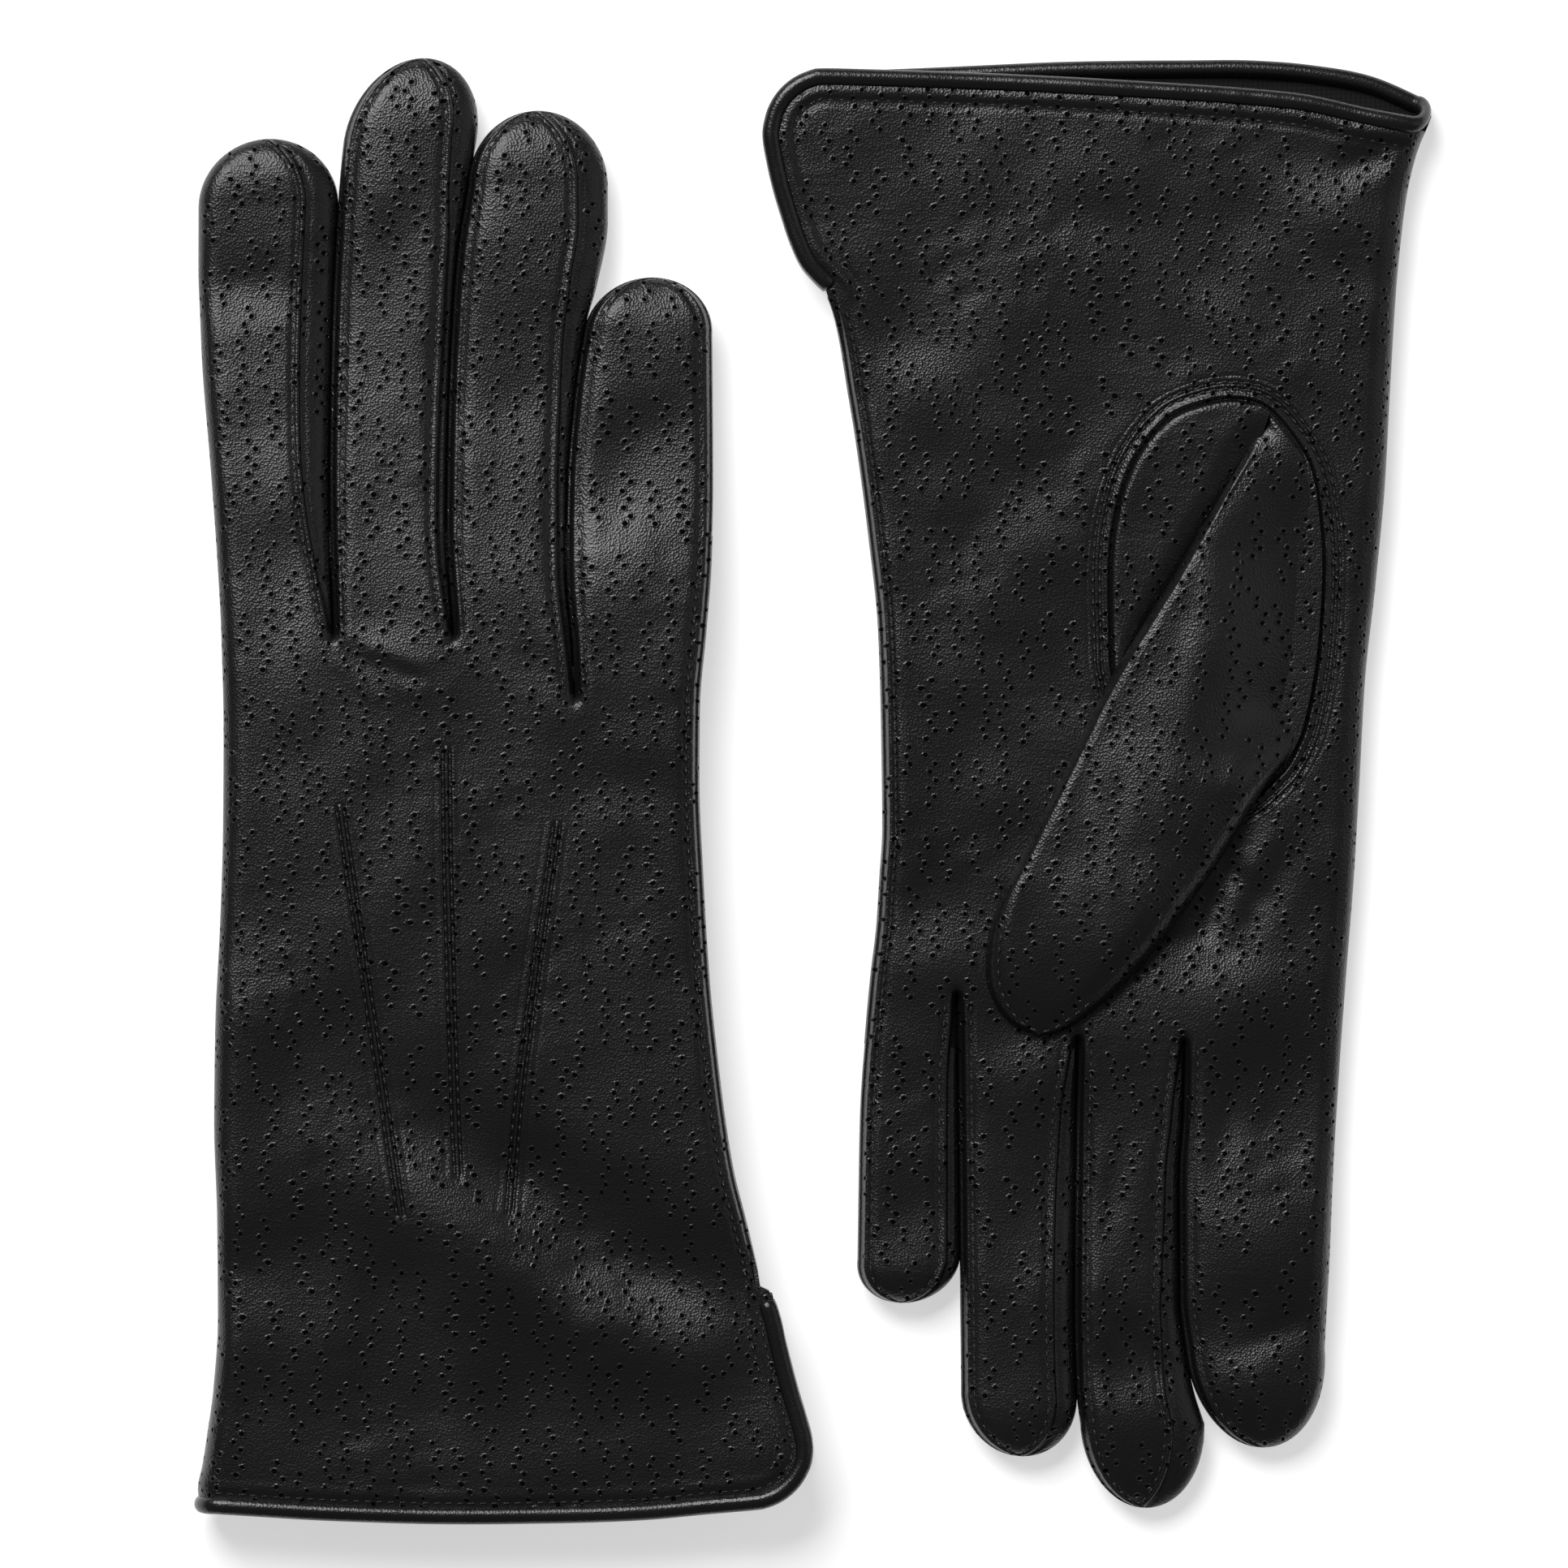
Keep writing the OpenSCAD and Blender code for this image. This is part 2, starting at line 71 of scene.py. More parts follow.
# Every table is in millimetres, in the glove's own plan: x across from its centre line, with the index
# finger's side at -x, and y from the hem towards the fingertips. A station is (y, value).
#   origin, turned     where the plan lies in the pair, and whether it is turned end for end
#   palm_up            whether the palm or the back is the upper layer
#   thumb_turn         how many degrees further in the thumb is folded, and thumb_flip its height's mirror
#   vent               how far up the sewn side the cuff is open
#   folds, swells      creases and soft slopes of the upper layer, as in folds() and swells()
#   index_edge, little_edge, gaps, tips
#                      the outline, the lines between the fingers, and each fingertip's x, y and cap length
#   crotch_up, crotch_low, seams, low_seams
#                      where the slits start, and how far the seams lie inside each finger's left and right
#   middle_z, half_z   the level of the glove's middle, and half its depth
#   cuff_ridge         how far inside the hem its ridge lies, and how high it is
#   cuff_rows, vent_rows
#                      how far inside the hem its stitches lie, all round and up the vent only
#   hem_up, hem_low    the hem of each layer, as (x, y)
RIGHT = {
    "name": "right", "origin": (-60.5, -125.0), "turned": False, "palm_up": False, "thumb_turn": 14.0,
    "thumb_flip": 14.35, "seed": 3, "vent": 39.2,
    "folds": [(8, 64, 34, 52, 4, .2), (-20, 150, -12, 142, 1.6, .3), (-16, 148, -6, 143, 1.3, .25),
              (10, 150, 20, 138, 2.5, .2), (22, 128, 40, 122, 4, .2)],
    "swells": [(-34, 207, 90, 10, 6, .12), (-38, 229, 115, 9, 8, .03), (0, 200, -90, 60, 42, .022),
               (-33, 172, -90, 13, 14, .12), (-13, 178, -90, 9, 17, .05),
               (-34, 189, -90, 10, 10, .12), (8, 186, 90, 9, 9, .03),
               (11, 206, -90, 9, 16, .07), (26, 168, 100, 10, 12, .14), (33.5, 206, 80, 9, 6, .09),
               (32, 190, -90, 9, 9, .09), (-10, 226, -90, 9, 14, .03),
               (-14, 151, 90, 8, 5, .10), (-35, 96, 100, 10, 14, .08),
               (0, 59, 58, 20, 10, .22), (29, 38, 78, 21, 9, .25), (12, 49, 66, 17, 10, .25),
               (-35, 38, 90, 14, 10, .10), (52, 18, 90, 8, 10, .12),
               (0, 14, 90, 40, 9, .08), (4, 28, 90, 50, 14, .05)],
    "index_edge": [(0, -44.2), (6, -45.1), (10, -44.3), (14.5, -43.6), (23, -42.4), (35, -41.6), (52, -41.7),
                   (68, -42.2), (85, -42), (102, -41.2), (118, -40.7), (135, -40.6), (151.5, -41),
                   (164, -41.7), (181, -43), (197.5, -44.4), (206, -44.8), (214, -45.1), (222, -45.1),
                   (240, -45)],
    "little_edge": [(0, 60.2), (8, 60.4), (14, 59.8), (22, 57.6), (30, 55.5), (37.2, 53.8), (39.2, 53.0),
                    (39.9, 51.0), (43.5, 50.3), (52, 48.3), (60, 46.3), (68.5, 44.9), (77, 43.8),
                    (93.5, 42.1), (110, 41.1), (127, 40.4), (139, 40.5), (152, 41.6), (164, 42.5),
                    (177, 42.8), (197.5, 42.7), (205, 42.6)],
    "gaps": [[(0, -24), (90, -22.5), (140, -21.8), (151, -21.9), (163, -22.3), (177, -22.6), (191, -22.5),
              (205, -22.2), (218, -21.6), (231, -20.8), (240, -19.8)],
             [(0, 4), (90, 0.5), (140, -1), (151.5, -1.5), (170, -2.7), (190, -2.4), (204, -1.8), (217, -0.8),
              (226, 0.6), (235, 2.2), (242, 3.4)],
             [(0, 32), (90, 23), (140, 19.3), (149, 18.8), (163, 17.7), (177, 17.9), (191, 19), (198, 19.9),
              (205, 21.2), (211, 22.9), (222, 24.8), (240, 24.8)]],
    "tips": [(-32.8, 236.2, 11.5), (-6.6, 250, 14), (12.9, 241, 13), (32.4, 212.5, 10)],
    "crotch_up": (151.5, 151.5, 141), "crotch_low": (168, 167, 161),
    "seams": [(1.3, [(140, .3), (151, .5), (160, 1.9), (172, 3.8), (185, 4.9), (200, 5.2), (232, 5.4)]),
              (.9, [(140, .3), (151, .5), (165, 1.3), (180, 1.4), (200, 1.2), (217, 1.5), (228, 3.1),
                    (240, 4.6)]),
              (.9, [(140, .3), (151, .9), (177, 1.5), (191, 2.2), (205, 3.6), (215, 4.8), (235, 5.1)]),
              (.9, [(140, .8), (205, .8)])],
    "low_seams": [(1.3, 1.2), (1.2, 1.2), (1.2, 1.2), (1.2, .8)],
    "middle_z": [(0, 6.6), (14, 7.6), (40, 9.8), (60, 10.5), (100, 10.6), (140, 10.6), (152, 10.2),
                 (164, 9.4), (176, 8.3), (188, 7.2), (200, 6.2), (212, 5.4), (226, 4.7), (240, 4.2),
                 (250, 4.0)],
    "half_z": [(0, 5.9), (14, 5.4), (50, 3.8), (200, 3.65), (250, 3.5)],
    "cuff_ridge": (4.7, .16), "cuff_rows": (3.6,), "vent_rows": (5.7,),
    "hem_up": [(-44, 1.9), (-20, .5), (0, 0), (25, .4), (49, 2.4)],
    "hem_low": [(-44, 2.0), (-20, .9), (0, .4), (25, .8), (49, 2.9)],
}
LEFT = {
    "name": "left", "origin": (51.8, 125.0), "turned": True, "palm_up": True, "thumb_turn": 0.0,
    "thumb_flip": None, "seed": 11, "vent": 40.6,
    "folds": [(-51, 14, -36, 19.5, 2.4, .42), (-24, 128, -12, 152, 2.2, .5), (-30, 133, -20, 150, 2.6, .3),
              (-20, 170, -16, 192, 2.2, .2), (-1, 182, 4, 206, 2.2, .2), (-33, 214, -18, 222, 2.2, .2),
              (0, 214, -8, 228, 2.4, .3), (-14, 30, 12, 24, 5, .2), (-17, 136, -24, 144.8, 1.7, .26),
              (-14, 148, -20, 154, 1.9, .15)],
    "swells": [(34, 51, -90, 8, 12, .08), (-39, 24, -110, 13, 7, .13), (14, 76, -41, 30, 9, .09),
               (-17, 155, -80, 14, 12, .21), (17, 170, -90, 8, 7, .14), (31, 150, -90, 8, 8, .13),
               (-24, 222, -100, 11, 9, .22), (-2, 227, -90, 9, 8, .20), (36, 202, -90, 7, 8, .10),
               (-24, 192, -90, 13, 22, .15), (8, 200, -90, 8, 18, .10), (-22, 80, 90, 20, 30, .03)],
    "index_edge": [(0, -52.6), (6, -54), (10.7, -52.9), (15, -51), (19, -49.9), (23, -49), (31.5, -47.9),
                   (40, -47.1), (56.5, -46.1), (73, -45.2), (90, -43.6), (106.5, -41.8), (123, -40.9),
                   (140, -39.9), (156.5, -38.6), (173, -37.4), (190, -36.4), (206.5, -35.7), (219, -35),
                   (240, -34)],
    "little_edge": [(0, 56.5), (6.5, 60.3), (12, 61.2), (19, 60.2), (27, 58), (31.5, 56.5), (36, 54.3),
                    (40, 50.4), (44, 48.9), (48, 48), (56.5, 46.6), (65, 45.2), (81.5, 43), (98, 41.3),
                    (115, 40.8), (131.5, 40.6), (140, 41.1), (148, 41.6), (156.5, 42.6), (165, 43.4),
                    (181, 44.5), (198, 44.8), (205, 44.9)],
    "gaps": [[(0, -24), (90, -14), (140, -11), (155, -10.9), (168, -10.9), (180, -10.7), (191, -10),
              (212, -10.1), (219, -10.9), (227, -12.4), (235, -15)],
             [(0, 6), (90, 7), (140, 7.4), (155, 7.4), (168, 7.3), (184, 7.6), (212, 7.9), (226, 7.6),
              (236, 6.4), (242, 5.2)],
             [(0, 34), (90, 30), (140, 28.2), (160, 27.9), (184, 27.6), (205, 27.4), (225, 27.2)]],
    "tips": [(-24.4, 237.3, 17), (-4.4, 247.6, 14.5), (16.6, 238.8, 10.5), (37.2, 212.6, 7.5)],
    "crotch_up": (168, 167.5, 160), "crotch_low": (151, 151, 143),
    "seams": [(1.3, [(140, .4), (168, .9), (200, .9), (235, 1.2)]),
              ([(140, .3), (168, .8), (180, 1.9), (200, 2.6), (215, 3.4), (232, 5.4)],
               [(140, .9), (240, .9)]),
              ([(140, .3), (168, 1.2), (180, 2.6), (200, 3.3), (235, 3.5)], [(140, .9), (240, .9)]),
              ([(140, .3), (160, .6), (175, 1.8), (210, 2.2)], [(140, .9), (240, .9)])],
    "low_seams": [(1.3, 1.2), (1.2, 1.2), (1.2, 1.2), (1.2, .8)],
    "middle_z": [(0, 3.8), (250, 3.75)],
    "half_z": [(0, 3.7), (200, 3.7), (250, 3.5)],
    "cuff_ridge": (4.0, .42), "cuff_rows": (5.4,), "vent_rows": (),
    "hem_up": [(-53, 10.6), (-41, 8.4), (-29.6, 6.0), (-6, 4.2), (25, 2.6), (50, 1.8)],
    "hem_low": [(-53, 7.6), (-41, 2.4), (-22, .2), (1.5, .3), (33, 1.5), (50, 2.2)],
}
CORNER_R = 11.0        # the rounded corner of the cuff at the vent
SEWN_IN = 1.4          # from a sewn edge to its stitches
FINGER_ROW = .8        # from one row of a finger's mesh to the next
OTHER_LAYER = 300      # how far the pattern of pores is shifted on the lower layer
LOWEST = .02           # the lowest that anything lies over the floor
OVAL_ROWS = (1.65, 2.8)    # how far outside the thumb's oval its two rows of stitches lie

# The thumb's seam round its oval in the palm, its two outlines from foot to tip, and the three points. Then
# the thumb's own soft slopes, and the two sides of its leather that shows beside it inside the oval.
OVAL = [(1.6, 103.7), (1.9, 87), (.7, 77.2), (-2.4, 68.4), (-8, 61.6), (-14.2, 58.9), (-19.2, 58.2),
        (-24.2, 59.3), (-28.5, 63.4), (-32.6, 70.2), (-34.3, 80.2), (-34.6, 89.5), (-33.8, 101.9),
        (-32.2, 111.2), (-30.6, 116.7), (-27, 122.5), (-19, 128), (-8, 124), (-1, 114)]
THUMB_LEFT = [(-24, 61.2), (-22.3, 65.9), (-16.7, 75.2), (-9.9, 87), (-3.7, 96.9), (2.6, 107.4), (10, 122.3),
              (16.8, 136), (20.9, 144), (22.9, 151), (22.7, 158.5), (19.4, 164.2), (14, 166.8)]
THUMB_RIGHT = [(-25, 60.6), (-28.6, 63.8), (-32.4, 70.2), (-34, 80.2), (-34.3, 89.5), (-33.4, 101.9),
               (-31.8, 111.2), (-29.8, 117.4), (-25.3, 123.5), (-21.7, 129.1), (-16.7, 137.3), (-8, 149.5),
               (-.5, 158.1), (5.4, 163.2), (9.8, 166), (14, 166.8)]
POINTS = [((-20.8, 123), (-13.3, 72.7), (-10.1, 51.3)), ((-2.6, 133), (-2.3, 110.2), (-1.2, 72.7), (-.5, 58)),
          ((16.4, 120.2), (13, 96.7), (9.8, 72.7), (8, 51.8))]
THUMB_SWELLS = [(-23, 64, -100, 4, 4, .3), (-24, 92, -115, 10, 13, .11), (-26, 114, -110, 7, 7, .18),
                (-8, 108, -90, 16, 22, .08), (0, 134, -75, 13, 22, .11), (-12, 106, -100, 15, 40, .045)]
THUMB_FOOT = [(-22.5, 59.1), (-19.2, 58.3), (-14.2, 59), (-8, 61.7), (-2.4, 68.5), (.6, 77.2), (1.8, 87),
              (1.5, 103.7), (0, 112), (-6, 122)]
THUMB_CREASE = [(-25.5, 60.5), (-23.5, 66), (-19.5, 75), (-13, 87), (-7.5, 97), (-4, 107), (-7, 116),
                (-11, 124)]


# ---- numbers ---------------------------------------------------------------------------------------

def curve(stations, y):
    """A smooth line through (y, value) stations: cubic Hermite pieces whose slope at each station is the
    harmonic mean of its neighbours' slopes, or nought at a turn, so that the line never overshoots."""
    s = np.array(stations, float)
    ys, vs = s[:, 0], s[:, 1]
    h = np.diff(ys)
    g = np.diff(vs) / h
    m = np.zeros(len(ys))
    same = g[:-1] * g[1:] > 0
    m[1:-1][same] = 2 * g[:-1][same] * g[1:][same] / (g[:-1][same] + g[1:][same])
    m[0], m[-1] = g[0], g[-1]
    y = np.clip(np.asarray(y, float), ys[0], ys[-1])
    i = np.clip(np.searchsorted(ys, y, side="right") - 1, 0, len(h) - 1)
    t = (y - ys[i]) / h[i]
    return ((1 + 2 * t) * (1 - t) ** 2 * vs[i] + t * (1 - t) ** 2 * h[i] * m[i]
            + t * t * (3 - 2 * t) * vs[i + 1] + t * t * (t - 1) * h[i] * m[i + 1])


def spline(points, n):
    """n points evenly spaced along a smooth line through the given ones: a Catmull-Rom curve walked by its
    own length."""
    p = np.array(points, float)
    q = np.vstack([2 * p[0] - p[1], p, 2 * p[-1] - p[-2]])
    t = np.linspace(0, len(p) - 1, len(p) * 24)
    i = np.clip(t.astype(int), 0, len(p) - 2)
    f = (t - i)[:, None]
    a, b, c, d = q[i], q[i + 1], q[i + 2], q[i + 3]
    line = .5 * (2 * b + (c - a) * f + (2 * a - 5 * b + 4 * c - d) * f ** 2
                 + (3 * b - a - 3 * c + d) * f ** 3)
    run = distances(line)
    return between(np.linspace(0, run[-1], n), run, line)


def distances(path):
    """The distance walked along a path to each of its points."""
    return np.concatenate([[0], np.cumsum(np.linalg.norm(np.diff(path, axis=0), axis=1))])


def between(at, run, points):
    """Points at these distances along a path whose own points lie at the distances in run."""
    return np.stack([np.interp(at, run, points[:, k]) for k in range(points.shape[1])], 1)


def directions(path):
    """The unit direction of a path at each of its points."""
    t = np.gradient(path, axis=0)
    return t / np.maximum(np.linalg.norm(t, axis=1, keepdims=True), 1e-9)


def leftwards(path):
    """The unit direction to the left of a flat path at each of its points."""
    t = directions(path)
    return np.stack([-t[:, 1], t[:, 0]], 1)


def bell(x, middle, width):
    """One at its middle, falling off on both sides as e to the minus the squared distance in widths."""
    return np.exp(-((x - middle) / width) ** 2)


def ease(a, b, x):
    """Nought at a, one at b, with the smooth S of 3t squared less 2t cubed between."""
    t = np.clip((np.asarray(x, float) - a) / (b - a), 0, 1)
    return t * t * (3 - 2 * t)


def roll(d, radius, power=2.3):
    """The height, from nought at the edge to one, of a rolled edge: a quarter of a superellipse that is
    radius wide."""
    t = 1 - np.clip(d / radius, 0, 1)
    return (1 - t ** power) ** (1 / power)


def ripple(x, y, seed, count, short, long):
    """Soft unevenness: a sum of waves in random directions, each with a wavelength between short and long
    and a height in proportion to it, scaled to swing about one either way."""
    r = np.random.default_rng(seed)
    a, w = r.uniform(0, math.tau, count), r.uniform(short, long, count)
    phase = r.uniform(0, math.tau, count)
    total = sum(wi / long * np.sin((x * math.cos(ai) + y * math.sin(ai)) * math.tau / wi + pi)
                for ai, wi, pi in zip(a, w, phase))
    return total / math.sqrt(count) * 1.6


def folds(x, y, strokes):
    """Creases: each stroke (x0, y0, x1, y1, width, depth) is a straight furrow whose section is a bell of
    that width, with a lower swell on both sides, fading out towards its two ends."""
    total = np.zeros(np.broadcast(x, y).shape)
    for x0, y0, x1, y1, width, depth in strokes:
        ux, uy = x1 - x0, y1 - y0
        length = math.hypot(ux, uy)
        ux, uy = ux / length, uy / length
        along = ((x - x0) * ux + (y - y0) * uy) / length
        across = (-(x - x0) * uy + (y - y0) * ux) / width
        fade = np.clip(4 * along * (1 - along), 0, 1) ** .7
        total += depth * fade * (.55 * bell(np.abs(across), 1.9, 1) - bell(across, 0, 1))
    return total


def swells(x, y, spots):
    """Soft slopes: each spot (x, y, facing, length, width, tilt) leans the surface by that tilt towards its
    facing, in degrees, at its middle. Its height is minus the tilt, times the distance along the facing,
    times a bell that is length across the facing and width along it."""
    total = np.zeros(np.broadcast(x, y).shape)
    for x0, y0, facing, length, width, tilt in spots:
        c, d = math.cos(math.radians(facing)), math.sin(math.radians(facing))
        along, across = (x - x0) * c + (y - y0) * d, -(x - x0) * d + (y - y0) * c
        total -= tilt * along * np.exp(-(along / width) ** 2 - (across / length) ** 2)
    return total


# ---- the glove's surface ---------------------------------------------------------------------------

def stated(value, y):
    """A width that is either one number or a smooth line through (y, width) stations."""
    return curve(value, y) if isinstance(value, list) else np.full(np.shape(y), float(value))


def parting(y):
    """Half the open space between two fingers: nought at their crotch, and a hair's overlap beyond it, where
    they press together."""
    return -.02 * ease(160, 173, y)


def lane(g, f, y):
    """Finger f's two outlines at y, running on down the hand as the lines between the fingers."""
    left = curve(g["index_edge"], y) if f == 0 else curve(g["gaps"][f - 1], y) + parting(y)
    right = curve(g["little_edge"], y) if f == 3 else curve(g["gaps"][f], y) - parting(y)
    return left, right


def seam_widths(g, f, y, up):
    """How far finger f's two seams lie inside its outlines, on the upper or the lower layer."""
    left, right = (g["seams"] if up else g["low_seams"])[f]
    return stated(left, y), stated(right, y)


def crotches(g, up):
    """How far up the glove each of the three slits starts, on one layer."""
    return g["crotch_up"] if up else g["crotch_low"]


def edge_radius(g, f, y, up, right):
    """How wide the rolled edge on one side of finger f is: narrow at the crotch, wider along the finger, and
    wider still where the fourchette leans outwards into view."""
    if (f == 0 and not right) or (f == 3 and right):
        return 4.4 - .6 * ease(150, 185, y)
    k = f if right else f - 1
    width = seam_widths(g, f, y, up)[1 if right else 0]
    return 2.0 + (2.5 + .75 * width) * ease(crotches(g, up)[k] - 4, crotches(g, up)[k] + 24, y)


def bead(ds):
    """The section of a sewn edge, ds inside the seam: a raised lip, a dip outside it, and a shallow furrow
    where the stitches pull the leather down, each a bell curve."""
    return .34 * bell(ds, .5, .38) - .52 * bell(ds, -.25, .34) - .24 * bell(ds, SEWN_IN, .34)


def begins(g, k, y, up):
    """How far the seams beside slit k have begun at y: nought below its crotch, and one above."""
    start = crotches(g, up)[k]
    return ease(start - 1.5, start + 3.5, y)


def sewn(g, f, x, y, left, right, up):
    """Both seams' beads across finger f, which start at its crotches, or at the vent on the sewn side."""
    wl, wr = seam_widths(g, f, y, up)
    total = bead(x - left - wl) * begins(g, f - 1, y, up) if f > 0 else 0
    starts = begins(g, f, y, up) if f < 3 else ease(g["vent"] - 1, g["vent"] + 4, y)
    return total + bead(right - wr - x) * starts


def levels(g, y):
    """The glove's middle level at y, and half its depth."""
    return curve(g["middle_z"], y), curve(g["half_z"], y)


def gap_distance(g, k, x, y, up):
    """The distance from slit k, which is a point at its crotch for anything nearer the hem."""
    start = crotches(g, up)[k]
    along = np.maximum(start - y, 0)
    across = np.abs(x - curve(g["gaps"][k], np.maximum(y, start))) - parting(y)
    return np.hypot(np.maximum(across, 0), along)


def segment_distance(x, y, path):
    """The distance from a broken line."""
    best = np.full(np.broadcast(x, y).shape, 1e9)
    for (x0, y0), (x1, y1) in zip(path[:-1], path[1:]):
        ux, uy = x1 - x0, y1 - y0
        t = np.clip(((x - x0) * ux + (y - y0) * uy) / (ux * ux + uy * uy), 0, 1)
        best = np.minimum(best, np.hypot(x - x0 - t * ux, y - y0 - t * uy))
    return best


def shortened(path, by):
    """A broken line with both its ends drawn in."""
    p = [np.array(q, float) for q in path]
    a = p[0] + (p[1] - p[0]) * by / np.linalg.norm(p[1] - p[0])
    b = p[-1] + (p[-2] - p[-1]) * by / np.linalg.norm(p[-2] - p[-1])
    return [tuple(a), *(tuple(q) for q in p[1:-1]), tuple(b)]


def inside(x, y, loop):
    """True where a point is within a closed loop: a ray from it crosses the loop an odd number of times."""
    odd = np.zeros(np.broadcast(x, y).shape, bool)
    for (x0, y0), (x1, y1) in zip(loop, loop[1:] + loop[:1]):
        if y0 == y1:
            continue
        odd ^= ((y0 > y) != (y1 > y)) & (x < x0 + (y - y0) * (x1 - x0) / (y1 - y0))
    return odd


def thumb_turned(g, p):
    """Points of the thumb folded further across the palm, turned about its foot."""
    a = math.radians(g["thumb_turn"])
    foot_x, foot_y = -30, 85
    dx, dy = p[..., 0] - foot_x, p[..., 1] - foot_y
    return np.stack([foot_x + dx * math.cos(a) + dy * math.sin(a),
                     foot_y - dx * math.sin(a) + dy * math.cos(a)], -1)


def unevenness(g, x, y, up):
    """How far the leather stands off a flat panel: broad soft waves, finer puckers, and the creases that wear
    leaves in each glove."""
    seed = g["seed"] + (0 if up else 7)        # its own waves on each layer of each glove
    total = .27 * ripple(x, y, seed, 9, 34, 90) + .07 * ripple(x, y, seed + 1, 12, 9, 22)
    total = total + .035 * ripple(x, y, seed + 2, 14, 3, 7) * ease(0, 1.2, ripple(x, y, seed + 3, 6, 20, 50))
    if up:
        total = total + folds(x, y, g["folds"]) + swells(x, y, g["swells"])
    return total


def cuff_rolls(g, x, y, up):
    """The leather beside the binding: a low ridge, and the furrow in which the binding's stitches lie, each a
    bell curve of the distance from the cuff's edge."""
    x, y = np.broadcast_arrays(np.asarray(x, float), np.asarray(y, float))
    away = np.full(x.shape, 99.0)
    near = y < g["vent"] + 6
    away[near] = segment_distance(x[near], y[near], hem_path(g, up, 0, 60).tolist())
    place, tall = g["cuff_ridge"]
    total = tall * bell(away, place, .75)
    for row in g["cuff_rows"]:
        total = total - .38 * bell(away, row, .38)
    return total * ease(g["vent"] + 2, g["vent"] - 2.5, y)


def trenches(g, x, y, up):
    """How deep the hand's own panels dip under the points, or under the thumb's leather inside its oval: flat
    furrows along the lines, and a floor within the oval."""
    if up != g["palm_up"]:
        return sum(.5 * np.exp(-(segment_distance(x, y, shortened(path, 2.4)) / 1.35) ** 4)
                   for path in POINTS)
    away = segment_distance(x, y, OVAL + OVAL[:1])
    return np.where(inside(x, y, OVAL), .62 + 1.15 * ease(.3, 2.5, away), .62 * np.exp(-(away / 3.1) ** 4))


def hand_height(g, x, y, up, trench=True):
    """The upper or lower surface of the hand: half the glove's depth off its middle level, times the rolled
    edges at both sides and round the slits between the fingers."""
    middle, half = levels(g, y)
    le, re = curve(g["index_edge"], y), curve(g["little_edge"], y)
    shape = roll(x - le, edge_radius(g, 0, y, up, False))
    closed = ease(g["vent"] - 1, g["vent"] + 12, y)
    shape = shape * (1 - closed + closed * roll(re - x, edge_radius(g, 3, y, up, True)))
    for k in range(3):
        right_side = x < curve(g["gaps"][k], y)
        radius = np.where(right_side, edge_radius(g, k, y, up, True), edge_radius(g, k + 1, y, up, False))
        shape = shape * roll(gap_distance(g, k, x, y, up), radius)
    total = half * shape + unevenness(g, x, y, up) * np.sqrt(shape) * ease(-3, 6, y)
    total = total + cuff_rolls(g, x, y, up)
    if trench:
        total = total - trenches(g, x, y, up)
    return middle + (total if up else -total)


def lifted(g, x, y, up, lift):
    """The hand's surface without its trenches, raised outwards by lift."""
    return hand_height(g, x, y, up, False) + (lift if up else -lift)


def rows_of(g, f):
    """The rows along finger f: evenly spaced from the split up to its round end, then closer and closer to
    the tip. Gives y, how much of the full width is left (the cosine of an angle that runs to a right angle),
    and the sine of that angle."""
    tip_y, cap = g["tips"][f][1], g["tips"][f][2]
    start = tip_y - cap
    n = int((start - SPLIT) / FINGER_ROW)
    straight = np.concatenate([[SPLIT, SPLIT + .05], np.linspace(SPLIT, start, n + 1)[1:]])
    t = np.linspace(0, math.pi / 2, 19)[1:]
    return (np.concatenate([straight, start + cap * np.sin(t)])[:, None],
            np.concatenate([np.ones(len(straight)), np.cos(t)])[:, None],
            np.concatenate([np.zeros(len(straight)), np.sin(t)])[:, None])


def finger_lines(g, f, y, narrow, beyond, up):
    """Finger f's outlines and seams along its rows. Beyond the start of its round end its half width is the
    cosine of the row's angle, and its middle drifts to the tip."""
    tip_x, tip_y, cap = g["tips"][f]
    base = np.minimum(y, tip_y - cap)
    left, right = lane(g, f, base)
    wl, wr = seam_widths(g, f, base, up)
    middle = (left + right) / 2 + (tip_x - (left + right) / 2) * beyond
    half = (right - left) / 2 * narrow
    soft = np.sqrt(narrow)
    wl, wr = np.minimum(wl * soft, .98 * half), np.minimum(wr * soft, .98 * half)
    return middle - half, middle + half, middle - half + wl, middle + half - wr


def finger_height(g, f, x, y, narrow, beyond, left, right, up):
    """The upper or lower surface of finger f: half its depth times its two rolled edges, thinner towards the
    tip as a rolled edge itself, with its seams' beads on top."""
    base = np.minimum(y, g["tips"][f][1] - g["tips"][f][2])
    middle, half = levels(g, base)
    room = np.maximum((right - left) / 2, 1e-4)
    shape = (roll(x - left, np.minimum(edge_radius(g, f, base, up, False), room))
             * roll(right - x, np.minimum(edge_radius(g, f, base, up, True), room)))
    thick = (1 - beyond ** 2.5) ** (1 / 2.1)
    wl, wr = seam_widths(g, f, base, up)
    soft = np.sqrt(narrow)
    total = half * shape * thick + unevenness(g, x, y, up) * np.sqrt(shape * thick)
    lips = bead(right - np.minimum(wr * soft, .98 * room) - x)
    if f < 3:
        lips = lips * begins(g, f, base, up)
    if f > 0:
        lips = bead(x - left - np.minimum(wl * soft, .98 * room)) * begins(g, f - 1, base, up) + lips
    total = total + lips * np.clip(room / 3, 0, 1) * ease(0, .5, shape)
    return middle + (total if up else -total)


